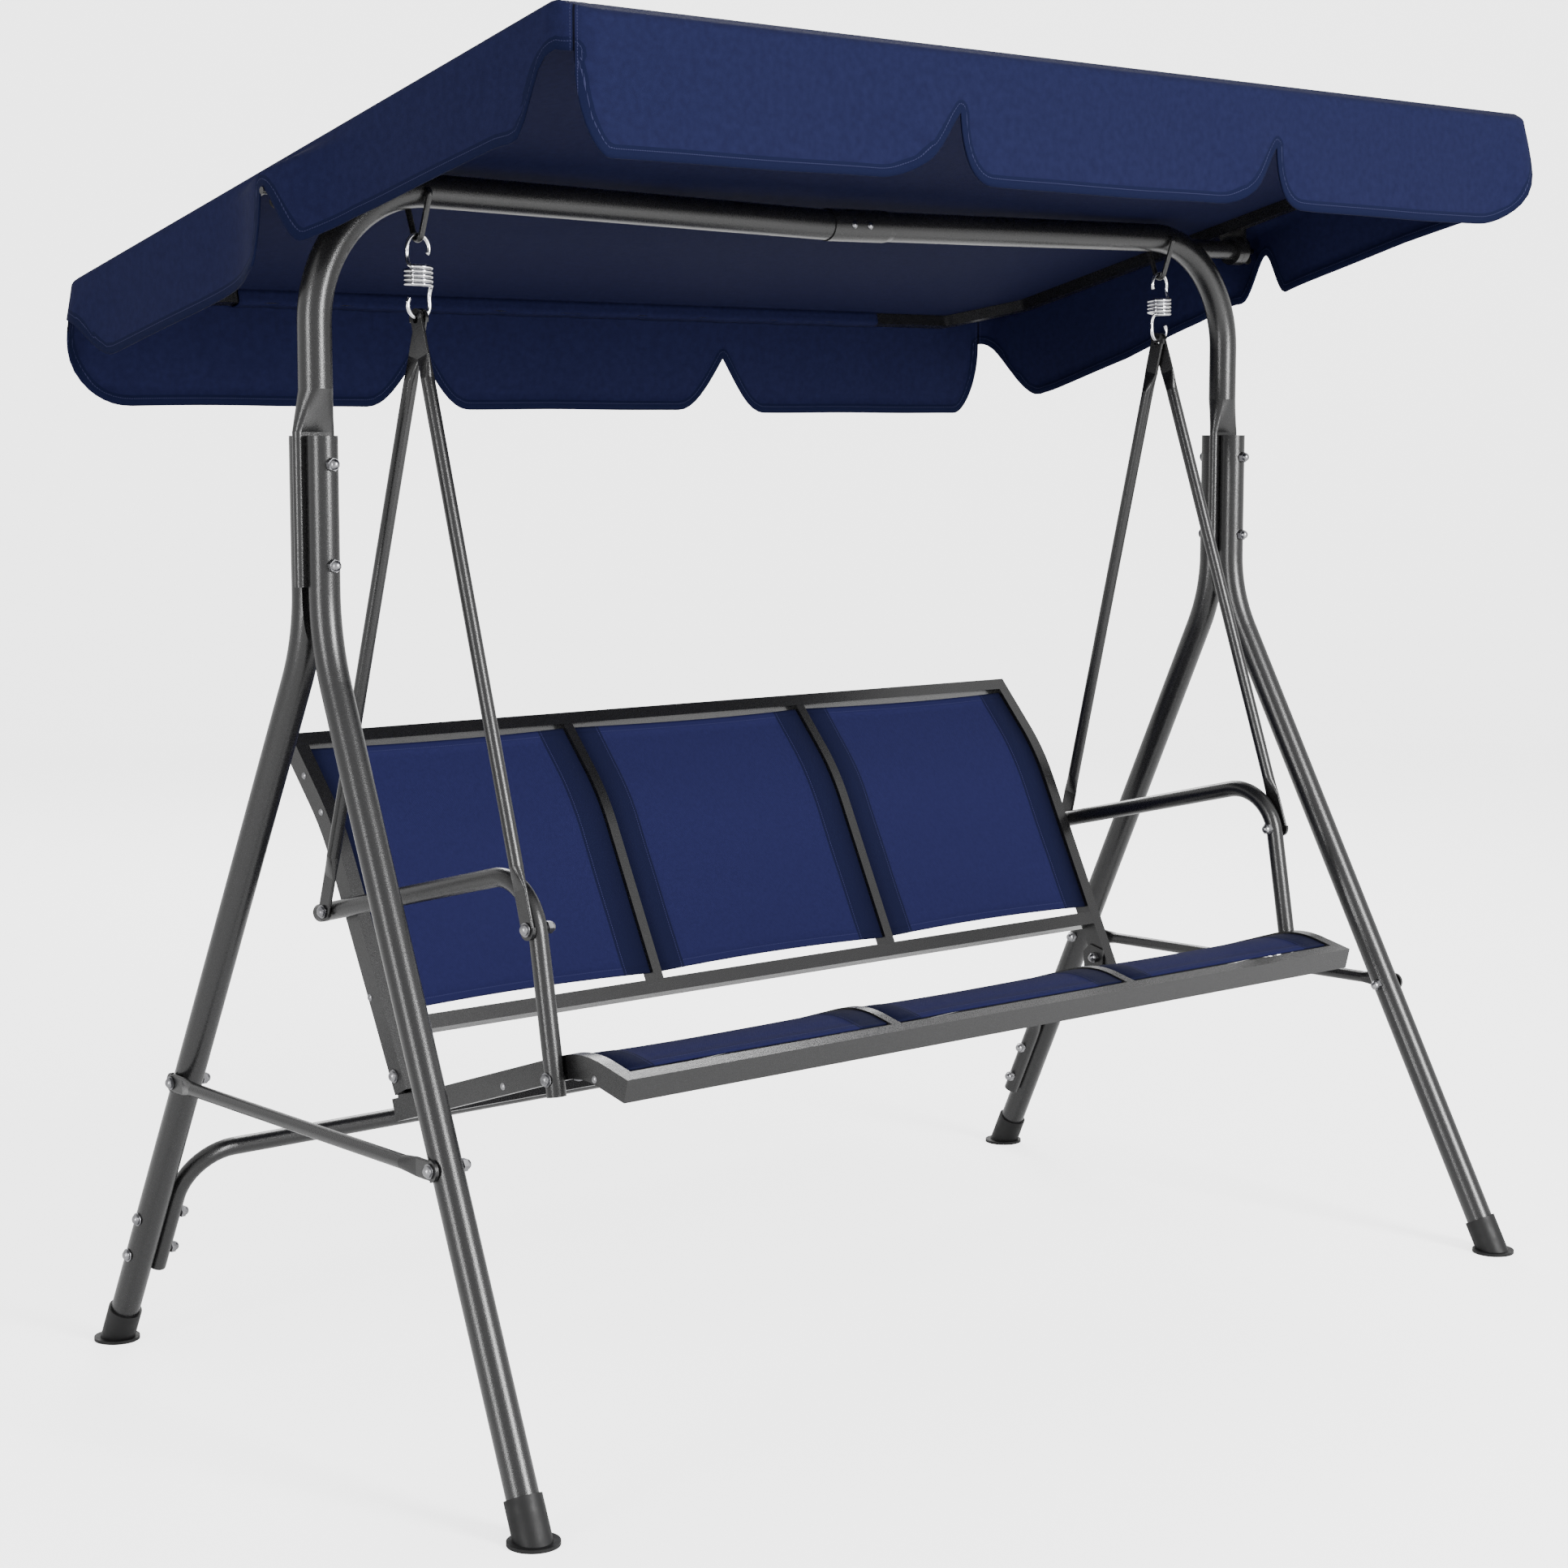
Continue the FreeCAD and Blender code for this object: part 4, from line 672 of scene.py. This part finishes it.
# The front and the rear bar each run through a narrow sleeve sewn under the roof.
SLEEVE_HALF_LENGTH, SLEEVE_HALF, SLEEVE_TOP = 0.553, 0.0096, 0.0088
SLEEVE_FORM = [(-SLEEVE_HALF, SLEEVE_TOP), (-SLEEVE_HALF, 0.003), (-SLEEVE_HALF, -0.003), (-0.0092, -0.0066),
               (-0.0066, -0.0092), (-0.003, -SLEEVE_HALF), (0.003, -SLEEVE_HALF), (0.0066, -0.0092),
               (0.0092, -0.0066), (SLEEVE_HALF, -0.003), (SLEEVE_HALF, 0.003), (SLEEVE_HALF, SLEEVE_TOP)]
for end in ("front", "rear"):
    low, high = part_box("canopy_%s_bar" % end)
    middle = (low + high) / 2
    tilt = Matrix.Rotation(-math.atan(ROOF_SLOPE), 3, "X")
    mesh = bmesh.new()
    bmesh.ops.create_grid(mesh, x_segments=160, y_segments=len(SLEEVE_FORM) - 1, size=0.5)
    for name in ("from_fold", "from_hem", "from_dart"):
        layer = mesh.verts.layers.float.new(name)
        for vertex in mesh.verts:
            vertex[layer] = 1.0
    uv = mesh.loops.layers.uv.new("cloth")
    for vertex in mesh.verts:
        x = vertex.co.x * 2 * SLEEVE_HALF_LENGTH
        across, up = SLEEVE_FORM[round((vertex.co.y + 0.5) * (len(SLEEVE_FORM) - 1))]
        puff = 1 + 0.05 * math.sin(x * 140) * math.sin(x * 37 + 1) + 0.04 * math.sin(x * 53)
        below = min(1.0, max(0.0, (SLEEVE_TOP - up) / SLEEVE_TOP))
        offset = tilt @ Vector((0, across * (1 + (puff - 1) * below), up * (1 + (puff - 1) * below)))
        vertex.co = (x, middle.y + offset.y, middle.z + offset.z)
    for face in mesh.faces:
        face.smooth = True
        for loop in face.loops:
            loop[uv].uv = (loop.vert.co.x, loop.vert.co.z)
    if sum(face.normal.z for face in mesh.faces) > 0:
        bmesh.ops.reverse_faces(mesh, faces=mesh.faces)
    data = bpy.data.meshes.new("bar_sleeve_" + end)
    mesh.to_mesh(data)
    mesh.free()
    data.materials.append(canopy_cloth)
    sleeve = bpy.data.objects.new("bar_sleeve_" + end, data)
    bpy.context.scene.collection.objects.link(sleeve)
    solid = sleeve.modifiers.new("cloth_thickness", "SOLIDIFY")
    solid.thickness, solid.offset = 0.001, 0
    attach(sleeve, "canopy")


# ---------------------------------------------------------------- seat and back slings
# Six panels of navy coated mesh, pulled tight between the side rails and the two dividers.
# Their side edges are folded double over rods in the rails' grooves, and top and bottom have narrow hems.

AXLE_BACK = 0.0108
SEAT_LINE = ((0.082, 0.325), (-0.277, 0.438), (-0.337, 0.4235))
BACK_LINE = ((0.068, 0.349), (0.2157, 0.650), (0.2889, 0.7332))
RAIL_FACE, DIVIDER_FACE = 0.5996, (0.2104, 0.1956)
SIDE_HEM, END_HEM, HEM_STEP = 0.042, 0.012, 0.0005
PANEL_THICK = 0.0024
PANEL_COLUMNS, PANEL_ROWS = 26, 34


def rail_line(line, bend):
    """A rail's middle line in side view as lengths and places: two straight runs joined by an arc."""
    a, b, c = (Vector(point) for point in line)
    first, last = (b - a).normalized(), (c - b).normalized()
    turn = first.angle_signed(last)
    cut = bend * math.tan(abs(turn) / 2)
    runs = ((b - a).length - cut, bend * abs(turn), (c - b).length - cut)

    def at(distance):
        """The place at a distance along the line, and the direction square to it."""
        if distance < runs[0]:
            ahead, place = first, a + first * distance
        elif distance < runs[0] + runs[1]:
            swept = (distance - runs[0]) / runs[1]
            ahead = Matrix.Rotation(-turn * swept, 2) @ first
            square = Vector((-first.y, first.x)) * (-1 if turn > 0 else 1)
            centre = a + first * runs[0] + square * bend
            place = centre - Matrix.Rotation(-turn * swept, 2) @ square * bend
        else:
            ahead, place = last, c - last * (sum(runs) - distance)
        return place, Vector((-ahead.y, ahead.x))
    return at, sum(runs)


def sling_panel(name, x_low, x_high, line, bend, lift, start, end, bows, sag, sag_way):
    """One stretched panel. bows: how far the first and last edge curve in; sag: how far the middle gives."""
    at, length = rail_line(line, bend)
    width = x_high - x_low
    reach = length - start - end
    across_hem = [0, SIDE_HEM - HEM_STEP, SIDE_HEM + HEM_STEP]
    across = [SIDE_HEM + (width - 2 * SIDE_HEM) * n / PANEL_COLUMNS for n in range(1, PANEL_COLUMNS)]
    across = across_hem + across + [width - a for a in reversed(across_hem)]
    down_hem = [0, 0.004, 0.008, END_HEM - HEM_STEP, END_HEM + HEM_STEP]
    down = [END_HEM + (reach - 2 * END_HEM) * n / PANEL_ROWS for n in range(1, PANEL_ROWS)]
    down = down_hem + down + [reach - d for d in reversed(down_hem)]
    mesh = bmesh.new()
    bmesh.ops.create_grid(mesh, x_segments=len(across) - 1, y_segments=len(down) - 1, size=0.5)
    side_layer = mesh.verts.layers.float.new("from_side")
    end_layer = mesh.verts.layers.float.new("from_end")
    weights = mesh.verts.layers.deform.verify()
    uv = mesh.loops.layers.uv.new("cloth")
    for vertex in mesh.verts:
        u = across[round((vertex.co.x + 0.5) * (len(across) - 1))]
        v = down[round((vertex.co.y + 0.5) * (len(down) - 1))]
        q = 1 - (2 * u / width - 1) ** 2
        bow = bows[0] * q * (1 - v / reach) ** 3 - bows[1] * q * (v / reach) ** 3
        place, square = at(start + v + bow)
        slack = sag * sag_way * q * (1 - (2 * v / reach - 1) ** 2)
        ripple = 0.0006 * math.sin(v * 60 + u * 9) * q
        place = place + square * (lift + slack + ripple)
        vertex.co = (x_low + u, place.x - AXLE_BACK, place.y)
        vertex[side_layer] = min(u, width - u)
        vertex[end_layer] = min(v, reach - v)
        if vertex[side_layer] < SIDE_HEM or vertex[end_layer] < END_HEM:
            vertex[weights][0] = 1.0
    for face in mesh.faces:
        face.smooth = True
        for loop in face.loops:
            index = loop.vert.index
            loop[uv].uv = (across[index % len(across)], down[index // len(across)])
    data = bpy.data.meshes.new(name)
    mesh.to_mesh(data)
    mesh.free()
    data.materials.append(sling_mesh)
    panel = bpy.data.objects.new(name, data)
    bpy.context.scene.collection.objects.link(panel)
    panel.vertex_groups.new(name="hem")
    solid = panel.modifiers.new("cloth_thickness", "SOLIDIFY")
    solid.thickness = PANEL_THICK
    solid.offset = 0
    solid.vertex_group = "hem"
    solid.thickness_vertex_group = HEM_THIN
    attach(panel, "seat")
    return width, reach, panel


sling_mesh = cloth_material("sling_mesh", (0.0078, 0.0084, 0.0380), (0.0094, 0.0102, 0.0440),
                            700, 0.00030, 0.85, 220,
                            [("from_end", END_HEM, END_HEM - 0.003, "X", (0.0080, 0.0088, 0.0390)),
                             ("from_side", SIDE_HEM, SIDE_HEM - 0.004, "Y", (0.0044, 0.0054, 0.0210))])
for kind, x_low, x_high in (("left", -RAIL_FACE, -DIVIDER_FACE[0]), ("centre", -DIVIDER_FACE[1], DIVIDER_FACE[1]),
                            ("right", DIVIDER_FACE[0], RAIL_FACE)):
    for part, line, bend, lift, start, end, bows, sag, way in (
            ("seat", SEAT_LINE, 0.120, -0.0098, 0.024, 0.010, (0.003, 0.002), 0.002, 1),
            ("back", BACK_LINE, 0.300, 0.006, 0.095, 0.003, (0.004, 0.003), 0.004, -1)):
        wide, long, panel = sling_panel("%s_panel_%s" % (part, kind), x_low, x_high, line, bend, lift, start, end,
                                        bows, sag, way)
        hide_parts("%s_sling_%s" % (part, kind))
